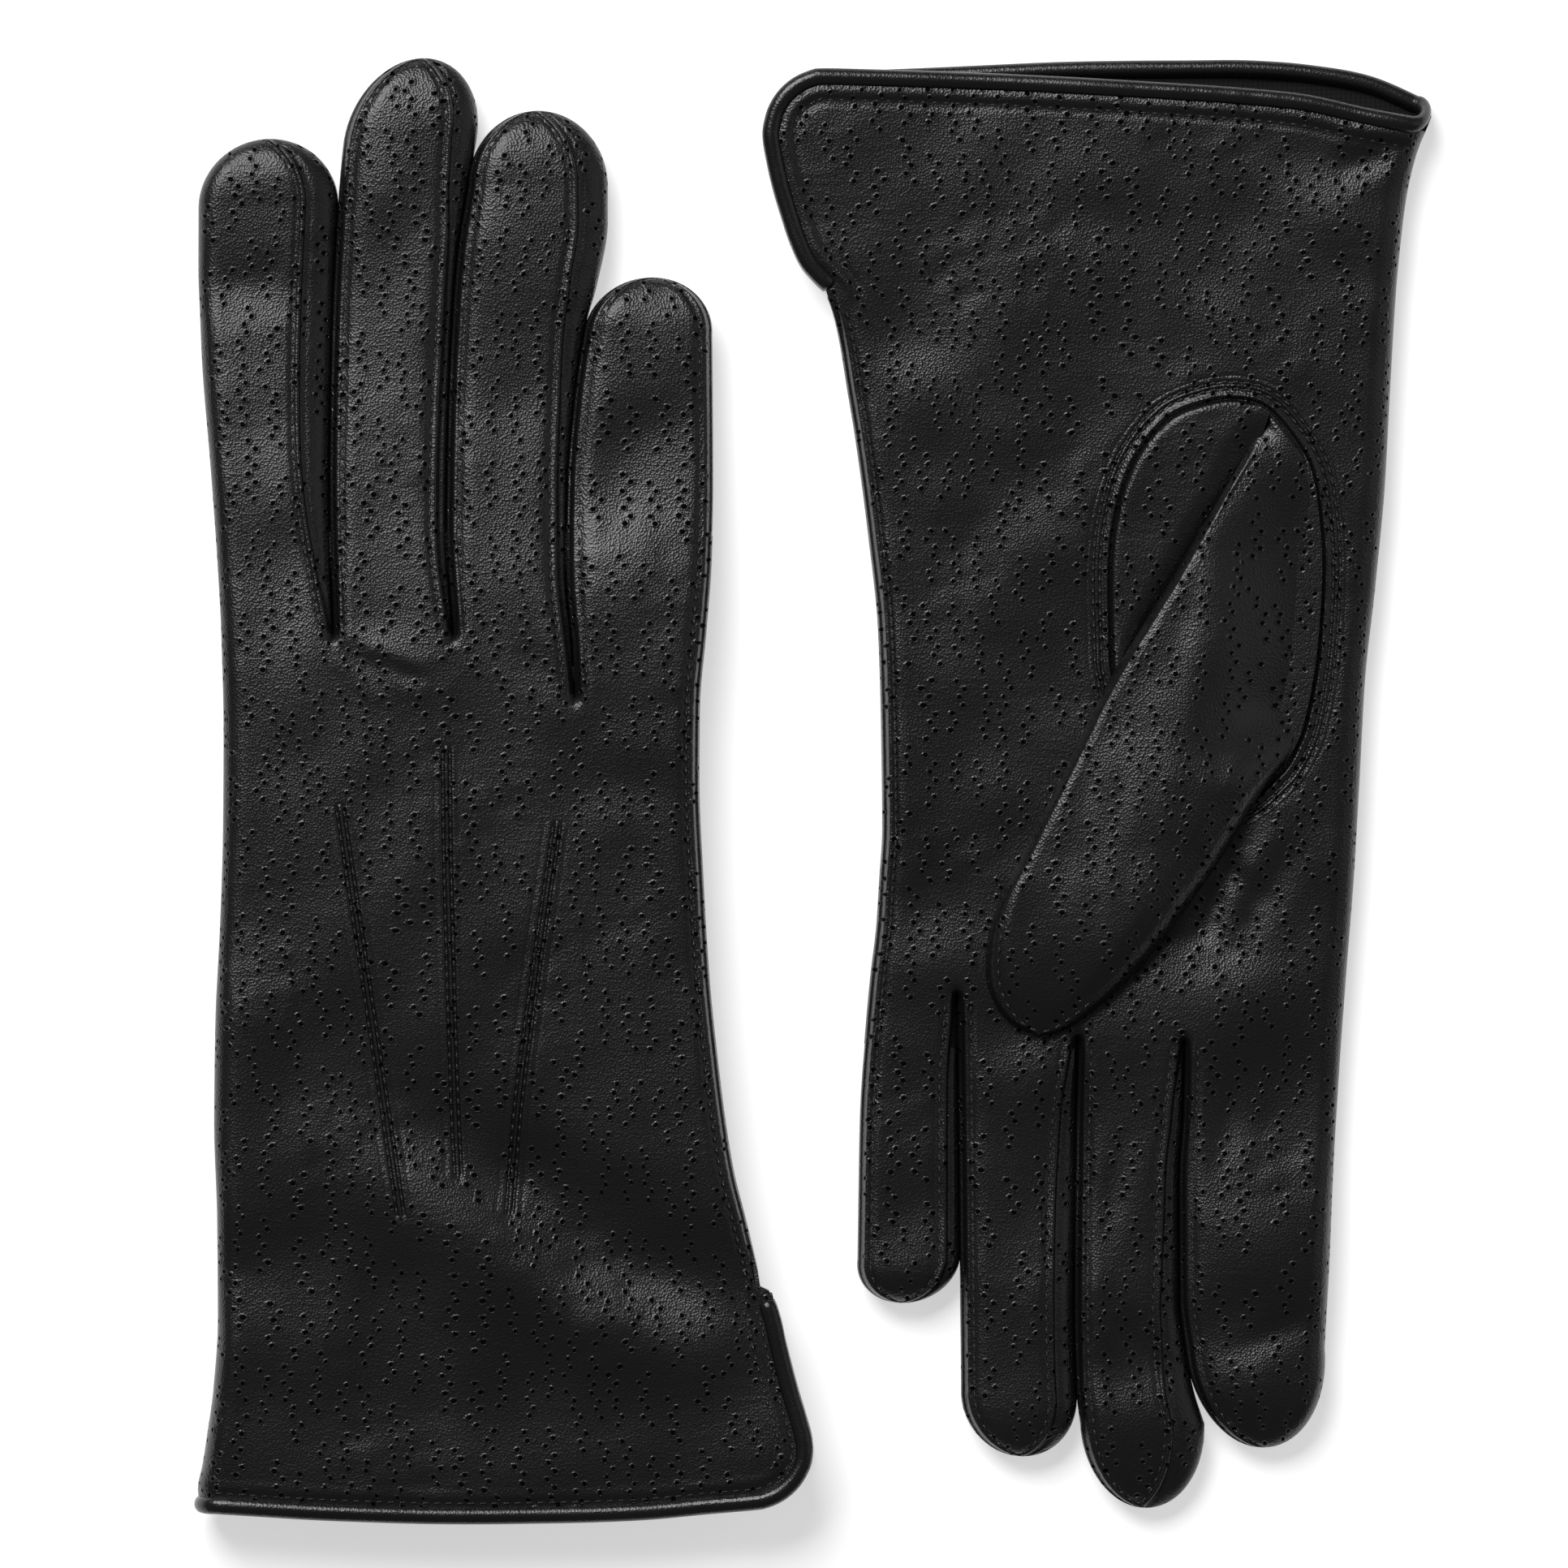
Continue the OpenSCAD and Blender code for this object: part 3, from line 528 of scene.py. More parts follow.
def hem(g, x, up):
    """The cuff's free edge: a shallow line through its stations, then a quarter circle up to the vent."""
    stations = g["hem_up" if up else "hem_low"]
    x0 = stations[-1][0]
    reach = np.clip(x - x0, 0, CORNER_R - 1e-3)
    return curve(stations, np.minimum(x, x0)) + CORNER_R - np.sqrt(CORNER_R ** 2 - reach ** 2)


def spread(n, mix=.6):
    """Fractions from nought to one, closer together at both ends: a share of half a cosine wave, and the rest
    even. The very thin cells at both ends give a piece's edge the same shading as its neighbour's."""
    t = np.linspace(0, 1, n + 1)
    return thin_ends(mix * (.5 - .5 * np.cos(math.pi * t)) + (1 - mix) * t)


def thin_ends(t):
    """The same fractions, with one more very near each end."""
    close = .03
    return np.concatenate([t[:1], t[:1] + (t[1] - t[0]) * close, t[1:-1],
                           t[-1:] + (t[-2] - t[-1]) * close, t[-1:]])


# ---- meshes ----------------------------------------------------------------------------------------

def grid_quads(rows, cols, start=0):
    """The four corners of each cell of a grid of vertices, rows by cols, wound so that the normal is the
    cross product of the way the columns run and the way the rows run."""
    i, j = np.meshgrid(np.arange(rows - 1), np.arange(cols - 1), indexing="ij")
    a = (start + i * cols + j).ravel()
    return np.stack([a, a + 1, a + cols + 1, a + cols], 1)


def placed(g, v):
    """Plan millimetres of one glove to the pair's metres: moved to its place, and turned end for end."""
    v = np.array(v, float)
    if g["turned"]:
        v[:, :2] *= -1
    v[:, :2] += g["origin"]
    return v * MM


class Piece:
    """Grids that become one mesh. Vertices that share a place are joined, and cells that shrink to a line at
    a tip are dropped or kept as triangles."""

    def __init__(self, name, g):
        self.name, self.g, self.v, self.q, self.uv, self.n = name, g, [], [], [], 0

    def grid(self, x, y, z, u=None, w=None, flip=False):
        """Adds a grid of vertices, with the pattern's own u and w, which are x and y unless given. flip turns
        its faces over."""
        x, y, z = np.broadcast_arrays(x, y, z)
        rows, cols = x.shape
        q = grid_quads(rows, cols, self.n)
        self.q.append(q[:, ::-1] if flip else q)
        self.v.append(np.stack([x.ravel(), y.ravel(), z.ravel()], 1))
        u = x if u is None else np.broadcast_to(u, x.shape)
        w = y if w is None else np.broadcast_to(w, x.shape)
        self.uv.append(np.stack([u.ravel(), w.ravel()], 1))
        self.n += rows * cols

    def add(self, v, q, uv):
        """Adds vertices, their four-cornered faces, and the pattern's place at each."""
        self.q.append(q + self.n)
        self.v.append(v)
        self.uv.append(uv)
        self.n += len(v)

    def build(self, material):
        """Joins the vertices that share a place, drops the cells without an area, and makes the object."""
        v, q, uv = np.vstack(self.v), np.vstack(self.q), np.vstack(self.uv)
        v[:, 2] = np.maximum(v[:, 2], LOWEST)
        # Vertices within 0.2 thousandths of a millimetre are one.
        _, first, same = np.unique(np.round(v / 2e-4).astype(np.int64), axis=0, return_index=True,
                                   return_inverse=True)
        m = same.ravel()[q]
        # A cell with two joined corners becomes a triangle. One with fewer than three left, or folded flat
        # across itself, is dropped.
        keep = np.stack([m[:, k] != m[:, k - 1] for k in range(4)], 1)
        crossed = (m[:, 0] == m[:, 2]) | (m[:, 1] == m[:, 3])
        count = keep.sum(1)
        good = (count >= 3) & ~crossed
        keep, q, m, count = keep[good], q[good], m[good], count[good]
        loops, corners = m[keep], q[keep]
        mesh = bpy.data.meshes.new(self.name)
        mesh.vertices.add(len(first))
        mesh.vertices.foreach_set("co", placed(self.g, v[first]).ravel())
        mesh.loops.add(len(loops))
        mesh.loops.foreach_set("vertex_index", loops)
        mesh.polygons.add(len(count))
        mesh.polygons.foreach_set("loop_start", np.concatenate([[0], np.cumsum(count)[:-1]]))
        mesh.update(calc_edges=True)
        layer = mesh.uv_layers.new(name="leather")
        layer.data.foreach_set("uv", uv[corners].astype(np.float32).ravel())
        mesh.shade_smooth()
        mesh.validate()
        o = bpy.data.objects.new(self.name, mesh)
        bpy.context.scene.collection.objects.link(o)
        mesh.materials.append(material)
        return o


def arc_across(x, z):
    """The distance walked along each row of a grid, across its columns."""
    d = np.hypot(np.diff(x, axis=1), np.diff(z, axis=1))
    return np.concatenate([np.zeros((x.shape[0], 1)), np.cumsum(d, axis=1)], 1)


def unrolled(x, z):
    """The pattern's u round the folded side, where it runs on from the upper layer's without a break."""
    arc = arc_across(x, z)
    return x[:, -1:] - (arc[:, -1:] - arc)


def tube(piece, path, radius_a, radius_b, sides, side=None):
    """A rounded strip along a path: rings that are ellipses, radius_a along side and radius_b square to it
    and to the path, with ends that shrink to a point over one radius. Unless it is given, side is level and
    to the right of the path."""
    p, t, run = path, directions(path), distances(path)
    if side is None:
        side = np.stack([t[:, 1], -t[:, 0], np.zeros(len(p))], 1)
        side /= np.maximum(np.linalg.norm(side, axis=1, keepdims=True), 1e-9)
    rise = np.cross(t, side)
    a = np.linspace(0, math.tau, sides + 1)
    near = np.clip(np.minimum(run, run[-1] - run) / radius_a, 0, 1)
    scale = np.sqrt(1 - (1 - near) ** 2)
    ring = (p[:, None, :] + side[:, None, :] * (radius_a * scale)[:, None, None] * np.cos(a)[None, :, None]
            + rise[:, None, :] * (radius_b * scale)[:, None, None] * np.sin(a)[None, :, None])
    piece.grid(ring[..., 0], ring[..., 1], ring[..., 2], a[None, :] * radius_a + 700, run[:, None])


def evenly(path, pitch):
    """Points along a path at an even pitch, with the way the path runs at each."""
    run, step = distances(path), .2
    n = max(int(run[-1] / pitch), 1)
    at = (np.arange(n) + .5) * run[-1] / n
    ahead = between(at + step, run, path) - between(at - step, run, path)
    return between(at, run, path), ahead / np.maximum(np.linalg.norm(ahead, axis=1, keepdims=True), 1e-9)


def stitches(piece, path, up, pitch, length, thick):
    """A row of stitches along a path: each is a short bead of thread, a six-sided spindle whose radius is a
    rolled edge at both ends, half sunk in the leather."""
    q, t = evenly(path, pitch)
    side = np.stack([t[:, 1], -t[:, 0], np.zeros(len(t))], 1)
    s = np.array([-1, -.72, 0, .72, 1])
    r = np.array([.05, .8, 1, .8, .05]) * thick
    a = np.linspace(0, math.tau, 7)
    across = r[:, None] * np.cos(a)
    rise = r[:, None] * np.sin(a) + (.06 if up else -.06)
    v = (q[:, None, None] + t[:, None, None] * (s * length / 2)[None, :, None, None]
         + side[:, None, None] * across[None, ..., None]
         + np.array([0, 0, 1.0]) * rise[None, ..., None])
    cell = grid_quads(len(s), len(a))[:, ::-1]
    quads = (cell[None] + len(s) * len(a) * np.arange(len(q))[:, None, None]).reshape(-1, 4)
    uv = np.broadcast_to(np.stack(np.meshgrid(a, s), -1), v.shape[:3] + (2,)).reshape(-1, 2)
    piece.add(v.reshape(-1, 3), quads, uv)


# ---- materials -------------------------------------------------------------------------------------

class Socket:
    """One output of a material node, with the arithmetic operators."""

    def __init__(self, nodes, out):
        self.nodes, self.out = nodes, out

    def __add__(self, o):
        return self.nodes.math("ADD", self, o)

    def __radd__(self, o):
        return self.nodes.math("ADD", o, self)

    def __sub__(self, o):
        return self.nodes.math("SUBTRACT", self, o)

    def __rsub__(self, o):
        return self.nodes.math("SUBTRACT", o, self)

    def __mul__(self, o):
        return self.nodes.math("MULTIPLY", self, o)

    def __rmul__(self, o):
        return self.nodes.math("MULTIPLY", o, self)

    def __truediv__(self, o):
        return self.nodes.math("DIVIDE", self, o)

    def __rtruediv__(self, o):
        return self.nodes.math("DIVIDE", o, self)


class Nodes:
    """A material's node tree. node() adds any node, sets its properties, and fills its inputs with numbers,
    colours or other nodes' outputs."""

    def __init__(self, name):
        self.material = bpy.data.materials.new(name)
        self.material.use_nodes = True
        self.tree = self.material.node_tree
        self.tree.nodes.clear()

    def node(self, kind, settings=None, out=0, **inputs):
        """A node of that kind, as one of its outputs. An input is given by its name, with _ for a space, or
        by its number, as i0."""
        n = self.tree.nodes.new(kind)
        for key, value in (settings or {}).items():
            setattr(n, key, value)
        for key, value in inputs.items():
            numbered = key[0] == "i" and key[1:].isdigit()
            self.fill(n.inputs[int(key[1:]) if numbered else key.replace("_", " ")], value)
        return Socket(self, n.outputs[out])

    def fill(self, socket, value):
        """Links a node's output to an input, or sets the input to a number or colour."""
        if isinstance(value, Socket):
            self.tree.links.new(value.out, socket)
        else:
            socket.default_value = value

    def math(self, operation, a, b=0.0):
        """Arithmetic on one value or two."""
        return self.node("ShaderNodeMath", {"operation": operation}, i0=a, i1=b)

    def smooth(self, value, start, end):
        """Nought below start, one above end, smooth between."""
        return self.node("ShaderNodeMapRange", {"interpolation_type": "SMOOTHSTEP"}, Value=value,
                         From_Min=start, From_Max=end)

    def mix(self, factor, a, b):
        """A colour from a to b."""
        return self.node("ShaderNodeMix", {"data_type": "RGBA"}, out=2, i0=factor, i6=a, i7=b)

    def parts(self, vector):
        """A vector's x, y and z."""
        n = self.tree.nodes.new("ShaderNodeSeparateXYZ")
        self.fill(n.inputs[0], vector)
        return [Socket(self, n.outputs[k]) for k in range(3)]

    def vector(self, operation, a, b):
        """Arithmetic on two vectors."""
        return self.node("ShaderNodeVectorMath", {"operation": operation}, i0=a, i1=b)

    def surface(self, color, roughness, normal, **constants):
        """The shader, with what varies over it linked and its constants set on its own sockets."""
        n = self.tree.nodes.new("ShaderNodeBsdfPrincipled")
        for key, value in (("Base Color", color), ("Roughness", roughness), ("Normal", normal)):
            if value is not None:
                self.fill(n.inputs[key], value)
        for key, value in constants.items():
            n.inputs[key.replace("_", " ")].default_value = value
        return Socket(self, n.outputs[0])

    def made(self, shader):
        """The finished material."""
        out = self.tree.nodes.new("ShaderNodeOutputMaterial")
        self.tree.links.new(shader.out, out.inputs[0])
        return self.material


def pore_rows(n, uv):
    """Embossed pores, in millimetres. The leather is cut into columns. Down each runs a zigzag of dots whose
    middle line sways with a slow noise, broken into chains of five to nine dots by a chance drawn for each
    column and each stretch of it. Gives each place's distance from its dot, in dot radii, and far away where
    there is no dot."""
    wide, pitch = 4.3, 1.42                     # a column's width, and from one dot to the next down it
    stretch, shortest, longer = 9, 4.0, 4.4     # the dots in a stretch, and how many of them a chain keeps
    wander, sway_by, jitter_by = 9.0, 5.0, (.18, .16)
    drift = n.node("ShaderNodeTexNoise", {"noise_dimensions": "2D"}, Vector=uv, Scale=.035, Detail=1.0)
    u, v, _ = n.parts(uv)
    u = u + (drift - .5) * wander
    k = n.math("FLOOR", u / wide)
    start = n.node("ShaderNodeTexWhiteNoise", {"noise_dimensions": "1D"}, W=k) * 37.0
    v = v + start
    j = n.math("ROUND", v / pitch)
    group = n.math("FLOOR", j / stretch)
    place = n.node("ShaderNodeCombineXYZ", X=k, Y=group, Z=0.0)
    chance = n.node("ShaderNodeTexWhiteNoise", {"noise_dimensions": "2D"}, Vector=place)
    here = n.node("ShaderNodeCombineXYZ", X=k * 3.7, Y=j * pitch, Z=0.0)
    sway = n.node("ShaderNodeTexNoise", {"noise_dimensions": "2D"}, Vector=here, Scale=.11, Detail=1.5)
    jitter = n.parts(n.node("ShaderNodeTexWhiteNoise", {"noise_dimensions": "2D"}, out=1,
                            Vector=n.node("ShaderNodeCombineXYZ", X=k, Y=j, Z=0.0)))
    zigzag = n.math("ABSOLUTE", n.math("MODULO", j, 2.0)) - .50
    dx = u - (k + .5) * wide - (sway - .5) * sway_by - zigzag - (jitter[0] - .5) * jitter_by[0]
    dy = v - (j + (jitter[1] - .5) * jitter_by[1]) * pitch
    away = n.math("SQRT", dx * dx + dy * dy) / (.33 + jitter[2] * .08)
    missing = n.math("GREATER_THAN", j - group * stretch, shortest + chance * longer)
    return away + missing * 9.0


def leather(name, roughness, pores=0.0, coarse=1.0):
    """Black aniline leather: a fine pebbled grain, embossed pores with raised rims if pores, their depth,
    isn't nought, with painted shade inside the pores, faint wrinkles that run across the glove, and a broad
    mottling of the finish."""
    n = Nodes(name)
    uv = n.node("ShaderNodeUVMap", {"uv_map": "leather"})
    grain = n.node("ShaderNodeTexVoronoi", {"voronoi_dimensions": "2D", "feature": "SMOOTH_F1"},
                   Vector=uv, Scale=2.5, Smoothness=.35)
    skin = n.node("ShaderNodeTexNoise", {"noise_dimensions": "2D"}, Vector=uv, Scale=1.3, Detail=4.0,
                  Roughness=.6)
    broad = n.node("ShaderNodeTexNoise", {"noise_dimensions": "2D"}, Vector=uv, Scale=.05, Detail=2.0,
                   Roughness=.5)
    lines = n.node("ShaderNodeTexNoise", {"noise_dimensions": "2D"}, Detail=3.0, Scale=1.0,
                   Vector=n.vector("MULTIPLY", uv, (.14, .62, 0)))
    worn = n.smooth(broad, .42, .66)
    height = grain * .056 + skin * (.018 + worn * .014) + lines * (.02 + worn * .035)
    color = n.mix(broad, (.0044, .004345, .00451, 1), (.00715, .006985, .00715, 1))
    rough = roughness + broad * .10 + skin * .10 - .10
    height = height * coarse
    if not pores:
        bump = n.node("ShaderNodeBump", Strength=1.0, Distance=.001, Height=height)
        return n.made(n.surface(color, rough, bump, Specular_IOR_Level=.5))
    away = pore_rows(n, uv)
    dots = 1.0 - n.smooth(away, .5, 1.15)
    rim = n.smooth(away, .8, 1.25) - n.smooth(away, 1.3, 2.1)
    height = height - dots * (.22 * pores) + rim * (.05 * pores)
    bump = n.node("ShaderNodeBump", Strength=1.0, Distance=.001, Height=height)
    skin_side = n.surface(color, rough, bump, Specular_IOR_Level=.5)
    # Painted shade: inside each pore the colour is darker and the gloss nearly gone, standing in for the
    # shade that falls in the pits.
    pore_painted_shade = n.surface((.0012, .0012, .0012, 1), .95, bump, Specular_IOR_Level=.05)
    shader = n.node("ShaderNodeMixShader", i0=n.smooth(1.05 - away, 0.0, .45), i1=skin_side, i2=pore_painted_shade)
    return n.made(shader)


def cloth(name):
    """Dark knitted lining: small ribs one way and rows the other."""
    n = Nodes(name)
    x, y, _ = n.parts(n.node("ShaderNodeUVMap", {"uv_map": "leather"}))
    ribs = n.math("SINE", x * 7.5)
    rows = n.math("SINE", y * 9.0)
    height = ribs * .5 + rows * .3
    color = n.mix(n.smooth(height, -.8, .8), (.0060, .0058, .0058, 1), (.011, .0105, .0105, 1))
    bump = n.node("ShaderNodeBump", Strength=.6, Distance=.00008, Height=height)
    return n.made(n.surface(color, .85, bump, Sheen_Weight=.06, Specular_IOR_Level=.2))


def thread(name):
    """Black polyester thread: strands that wind slantwise round each stitch."""
    n = Nodes(name)
    x, y, _ = n.parts(n.node("ShaderNodeUVMap", {"uv_map": "leather"}))
    twist = n.math("SINE", x * 2.0 + y * 9.0)
    color = n.mix(n.smooth(twist, -1, 1), (.007, .007, .0072, 1), (.022, .022, .023, 1))
    bump = n.node("ShaderNodeBump", Strength=.5, Distance=.00008, Height=twist)
    return n.made(n.surface(color, .32, bump, Specular_IOR_Level=.6))


def plain_floor(name, value):
    """A plain pale floor of that grey, with the faintest mottling, and a little light of its own."""
    n = Nodes(name)
    place = n.node("ShaderNodeTexCoord", out=3)
    mottle = n.node("ShaderNodeTexNoise", Vector=place, Scale=9.0, Detail=2.0)
    color = n.mix(mottle, (value, value, value, 1), (value * .995, value * .995, value * .995, 1))
    return n.made(n.surface(color, .9, None, Specular_IOR_Level=.1, Emission_Color=(1, 1, 1, 1),
                            Emission_Strength=.55))


# ---- pieces of the hand ----------------------------------------------------------------------------

def layer_name(g, up):
    """The name of the upper or lower layer."""
    return "palm" if up == g["palm_up"] else "back"


def hand_columns(g, f, y, up):
    """Where finger f's columns of the hand lie at y: across its left edge, its strip and its right edge."""
    left, right = lane(g, f, y)
    if f == 3:
        right = right - .9 * ease(g["vent"] + 1, g["vent"] - 3, y)
    wl, wr = seam_widths(g, f, y, up)
    return left, left + wl, right - wr, right


def hand_rows(n=214):
    """Fractions of the way from the hem to the split, with one very short last row, so that the shading of
    the leather runs on without a break."""
    return np.append(np.linspace(0, 1, n)[:-1], [1 - .0003, 1])[:, None]


def column_y(g, fraction_x, v, up, inset=1.0):
    """Each row's y in each column, from a little inside that column's own place on the hem, under the
    binding. fraction_x gives x from y."""
    y0 = np.zeros_like(fraction_x(np.zeros(1)))
    for _ in range(4):
        x0 = fraction_x(y0)
        y0 = hem(g, x0, up) + inset
    return y0 + (SPLIT - y0) * v


def hand_panel(g, up, material):
    """The back or palm: four lanes of columns, one for each finger, that run from the hem to the split."""
    p = Piece(f"{g['name']}_{layer_name(g, up)}_leather", g)
    v = hand_rows()
    for f in range(4):
        parts = [(1, spread(30)), (2, thin_ends(1 - (1 - np.linspace(0, 1, 6)) ** 1.6))]
        if f > 0:
            parts.insert(0, (0, thin_ends(np.linspace(0, 1, 5) ** 1.6)))
        for part, u in parts:
            def x_at(y):
                """The columns of this part of the lane: its left edge, its strip or its right edge."""
                lines = hand_columns(g, f, y, up)
                return lines[part] + (lines[part + 1] - lines[part]) * u[None, :]
            y = column_y(g, x_at, v, up)
            x = x_at(y)
            left, _, _, right = hand_columns(g, f, y, up)
            lips = sewn(g, f, x, y, left, right, up) * ease(0, .5, np.minimum(x - left, right - x) / 1.2)
            z = hand_height(g, x, y, up) + (lips if up else -lips)
            p.grid(x, y, z, flip=not up, u=x + (0 if up else OTHER_LAYER))
    return p.build(material)


def fold_strip(g, material):
    """The folded side: the leather that rolls from the upper panel round to the lower one."""
    p = Piece(f"{g['name']}_folded_side", g)
    v = hand_rows()
    xs, ys, zs = [], [], []
    for up in (False, True):
        t = thin_ends((np.linspace(0, 1, 8) if up else np.linspace(1, 0, 8)) ** 1.7)

        def x_at(y):
            """From the outline in to the strip's edge, closest together at the outline."""
            left, sl, _, _ = hand_columns(g, 0, y, up)
            return left + (sl - left) * t[None, :]
        y = column_y(g, x_at, v, up, 2.2)
        xs.append(x_at(y))
        ys.append(y)
        zs.append(hand_height(g, xs[-1], y, up))
    x, y, z = np.hstack(xs), np.hstack(ys), np.hstack(zs)
    p.grid(x, y, z, u=unrolled(x, z))
    return p.build(material)


def lining_panel(g, up, material):
    """The lining's layer: the same surface as the leather outside it, about a millimetre further in."""
    p = Piece(f"{g['name']}_{layer_name(g, up)}_lining", g)
    v = np.linspace(0, 1, 90)[:, None]
    u = spread(70, .3)[None, :]

    def x_at(y):
        """Columns spread from side to side, a little inside the outline."""
        left, right = curve(g["index_edge"], y) + 1.3, curve(g["little_edge"], y) - 1.3
        return left + (right - left) * u
    y0 = np.zeros_like(u)
    for _ in range(4):
        y0 = hem(g, x_at(y0), up) + 1.2
    y = y0 + (146 - y0) * v
    x = x_at(y)
    middle, _ = levels(g, y)
    z = hand_height(g, x, y, up)
    z = middle + (z - middle) * .84 - (.5 if up else -.5)
    p.grid(x, y, z, flip=up)
    return p.build(material)


def hem_path(g, up, inset, n=150):
    """The line of the cuff's edge, a given distance inside it, from the folded side round to the top of the
    vent."""
    stations = g["hem_up" if up else "hem_low"]
    x0, y0 = stations[-1]
    xs = np.linspace(curve(g["index_edge"], stations[0][1]), x0, 40)[::4]
    bottom = np.stack([xs, hem(g, xs, up)], 1)
    a = np.radians(np.linspace(-84, -8, 14))[::2]
    corner = np.stack([x0 + CORNER_R * np.cos(a), y0 + CORNER_R + CORNER_R * np.sin(a)], 1)
    ys = np.linspace(y0 + CORNER_R + .5, g["vent"] - .1, 7)
    side = np.stack([curve(g["little_edge"], ys), ys], 1)
    path = spline(np.vstack([bottom, corner, side]), n)
    return path + inset * leftwards(path)


def binding(g, material, radius):
    """The rolled binding: one tube along the lower layer's edge, round the folded corner, and back along the
    upper layer's edge."""
    p = Piece(f"{g['name']}_cuff_roll", g)
    paths, sides = [], []
    for up in (False, True):
        q = hem_path(g, up, radius)
        inwards = hem_path(g, up, radius + 1) - q
        z = hand_height(g, q[:, 0], q[:, 1], up, False)
        z = z - .3 if up else np.maximum(z + .15, radius * .85)
        order = slice(3, None) if up else slice(None, 2, -1)
        paths.append(np.column_stack([q, z])[order])
        sides.append(np.column_stack([inwards, np.zeros(len(q))])[order])
    (low, high), (low_side, high_side) = paths, sides
    t = np.linspace(0, math.pi, 11)[1:-1, None]
    middle, half = (low[-1] + high[0]) / 2, (high[0] - low[-1]) / 2
    bend = middle - np.cos(t) * half + np.sin(t) * np.array([-.55, 0, 0]) * np.linalg.norm(half)
    turning = low_side[-1] + (high_side[0] - low_side[-1]) * (.5 - .5 * np.cos(t))
    side = np.vstack([low_side, turning, high_side])
    side /= np.linalg.norm(side, axis=1, keepdims=True)
    tube(p, np.vstack([low, bend, high]), radius, radius * .84, 18, side)
    return p.build(material)


def side_seam(g, material):
    """The sewn side: the two layers' cut edges, held together, as a low flat strip."""
    p = Piece(f"{g['name']}_sewn_side", g)
    y = np.linspace(g["vent"] - .5, SPLIT, 180)
    x = curve(g["little_edge"], y) - .42
    tube(p, np.column_stack([x, y, levels(g, y)[0]]), .5, .85, 10)
    return p.build(material)


def point_strips(g, material):
    """The three points: a low ridge between two furrows, laid over the back along each line."""
    p = Piece(f"{g['name']}_raised_points", g)
    up = not g["palm_up"]
    for path in POINTS:
        line = spline(path, 170)
        out, s = leftwards(line), np.linspace(-2.7, 2.7, 37)[None, :]
        x, y = line[:, :1] + out[:, :1] * s, line[:, 1:] + out[:, 1:] * s
        run, off = np.linspace(0, 1, 170)[:, None], np.abs(s)
        fade = ease(0, .02, run) * ease(0, .02, 1 - run)
        lift = (.16 * bell(s, 0, .30) - .46 * bell(off, .58, .26) + .05 * bell(off, 1.25, .4)) * fade
        lift = lift - .35 * ease(2.0, 2.7, off) - .3 * (1 - ease(0, .008, run) * ease(0, .008, 1 - run))
        p.grid(x, y, lifted(g, x, y, up, lift), flip=up, u=x + (0 if up else OTHER_LAYER))
    return p.build(material)


def quirk_gussets(g, material):
    """The three quirks: small gussets, V-shaped in section, at the bottom of each slit."""
    p = Piece(f"{g['name']}_quirk_gussets", g)
    for k in range(3):
        start = min(crotches(g, True)[k], crotches(g, False)[k])
        y = np.linspace(start - 1, SPLIT + 2, 40)[:, None]
        s = np.linspace(-1, 1, 9)[None, :]
        x = curve(g["gaps"][k], y) + s * (.3 + .9 * ease(start - 1, start + 8, y))
        middle, half = levels(g, y)
        z = middle - .5 + half * .45 * np.abs(s) ** 1.5
        p.grid(x, y, z)
    return p.build(material)


def thumb_seam(g, material):
    """The seam round the thumb's oval: a furrow where the thumb's leather goes under the palm's, a raised
    lip, and two lines where stitches pull the leather down, laid over the palm as one ring."""
    p = Piece(f"{g['name']}_thumb_seam", g)
    up = g["palm_up"]
    line = spline(OVAL + OVAL[:1], 300)
    t = np.gradient(line, axis=0)
    t[0] = t[-1] = t[0] + t[-1]
    t /= np.linalg.norm(t, axis=1, keepdims=True)
    centre = line.mean(0)
    out = np.stack([t[:, 1], -t[:, 0]], 1)
    out *= np.sign(np.sum(out * (line - centre), 1).mean())
    s = np.concatenate([np.linspace(-.9, 3.6, 46), [4.1, 4.6, 5.2]])[None, :]
    x = line[:, :1] + out[:, :1] * s
    y = line[:, 1:] + out[:, 1:] * s
    lift = (.26 * bell(s, .55, .42) - .60 * bell(s, -.15, .34) - .22 * bell(s, OVAL_ROWS[0], .26)
            + .13 * bell(s, 2.2, .3) - .22 * bell(s, OVAL_ROWS[1], .26) - .42 * ease(3.5, 5.2, s)
            - .35 * ease(-.3, -.9, s))
    p.grid(x, y, lifted(g, x, y, up, lift), flip=up, u=x + (0 if up else OTHER_LAYER))
    return p.build(material)


def thumb_lines(g, n):
    """The thumb's left and right outlines, folded as far across the palm as this glove's is, with n points
    each, evenly spaced until they close up towards the tip."""
    t = np.linspace(0, 1, n)
    t = 1 - (1 - t) ** 1.25
    a = np.linspace(0, 1, 400)
    amount = ease(.02, .55, t)[:, None]
    lines = [between(t, a, spline(side, 400)) for side in (THUMB_LEFT, THUMB_RIGHT)]
    left, right = (line + (thumb_turned(g, line) - line) * amount for line in lines)
    return left, right, t


def thumb_level(g, z):
    """The thumb is drawn on top of an upward palm. Under a downward one, its heights are mirrored."""
    return z if g["palm_up"] else g["thumb_flip"] - z


def palm_top(g, x, y):
    """The palm's surface without its furrows, as if it faced up."""
    return thumb_level(g, hand_height(g, x, y, g["palm_up"], False))


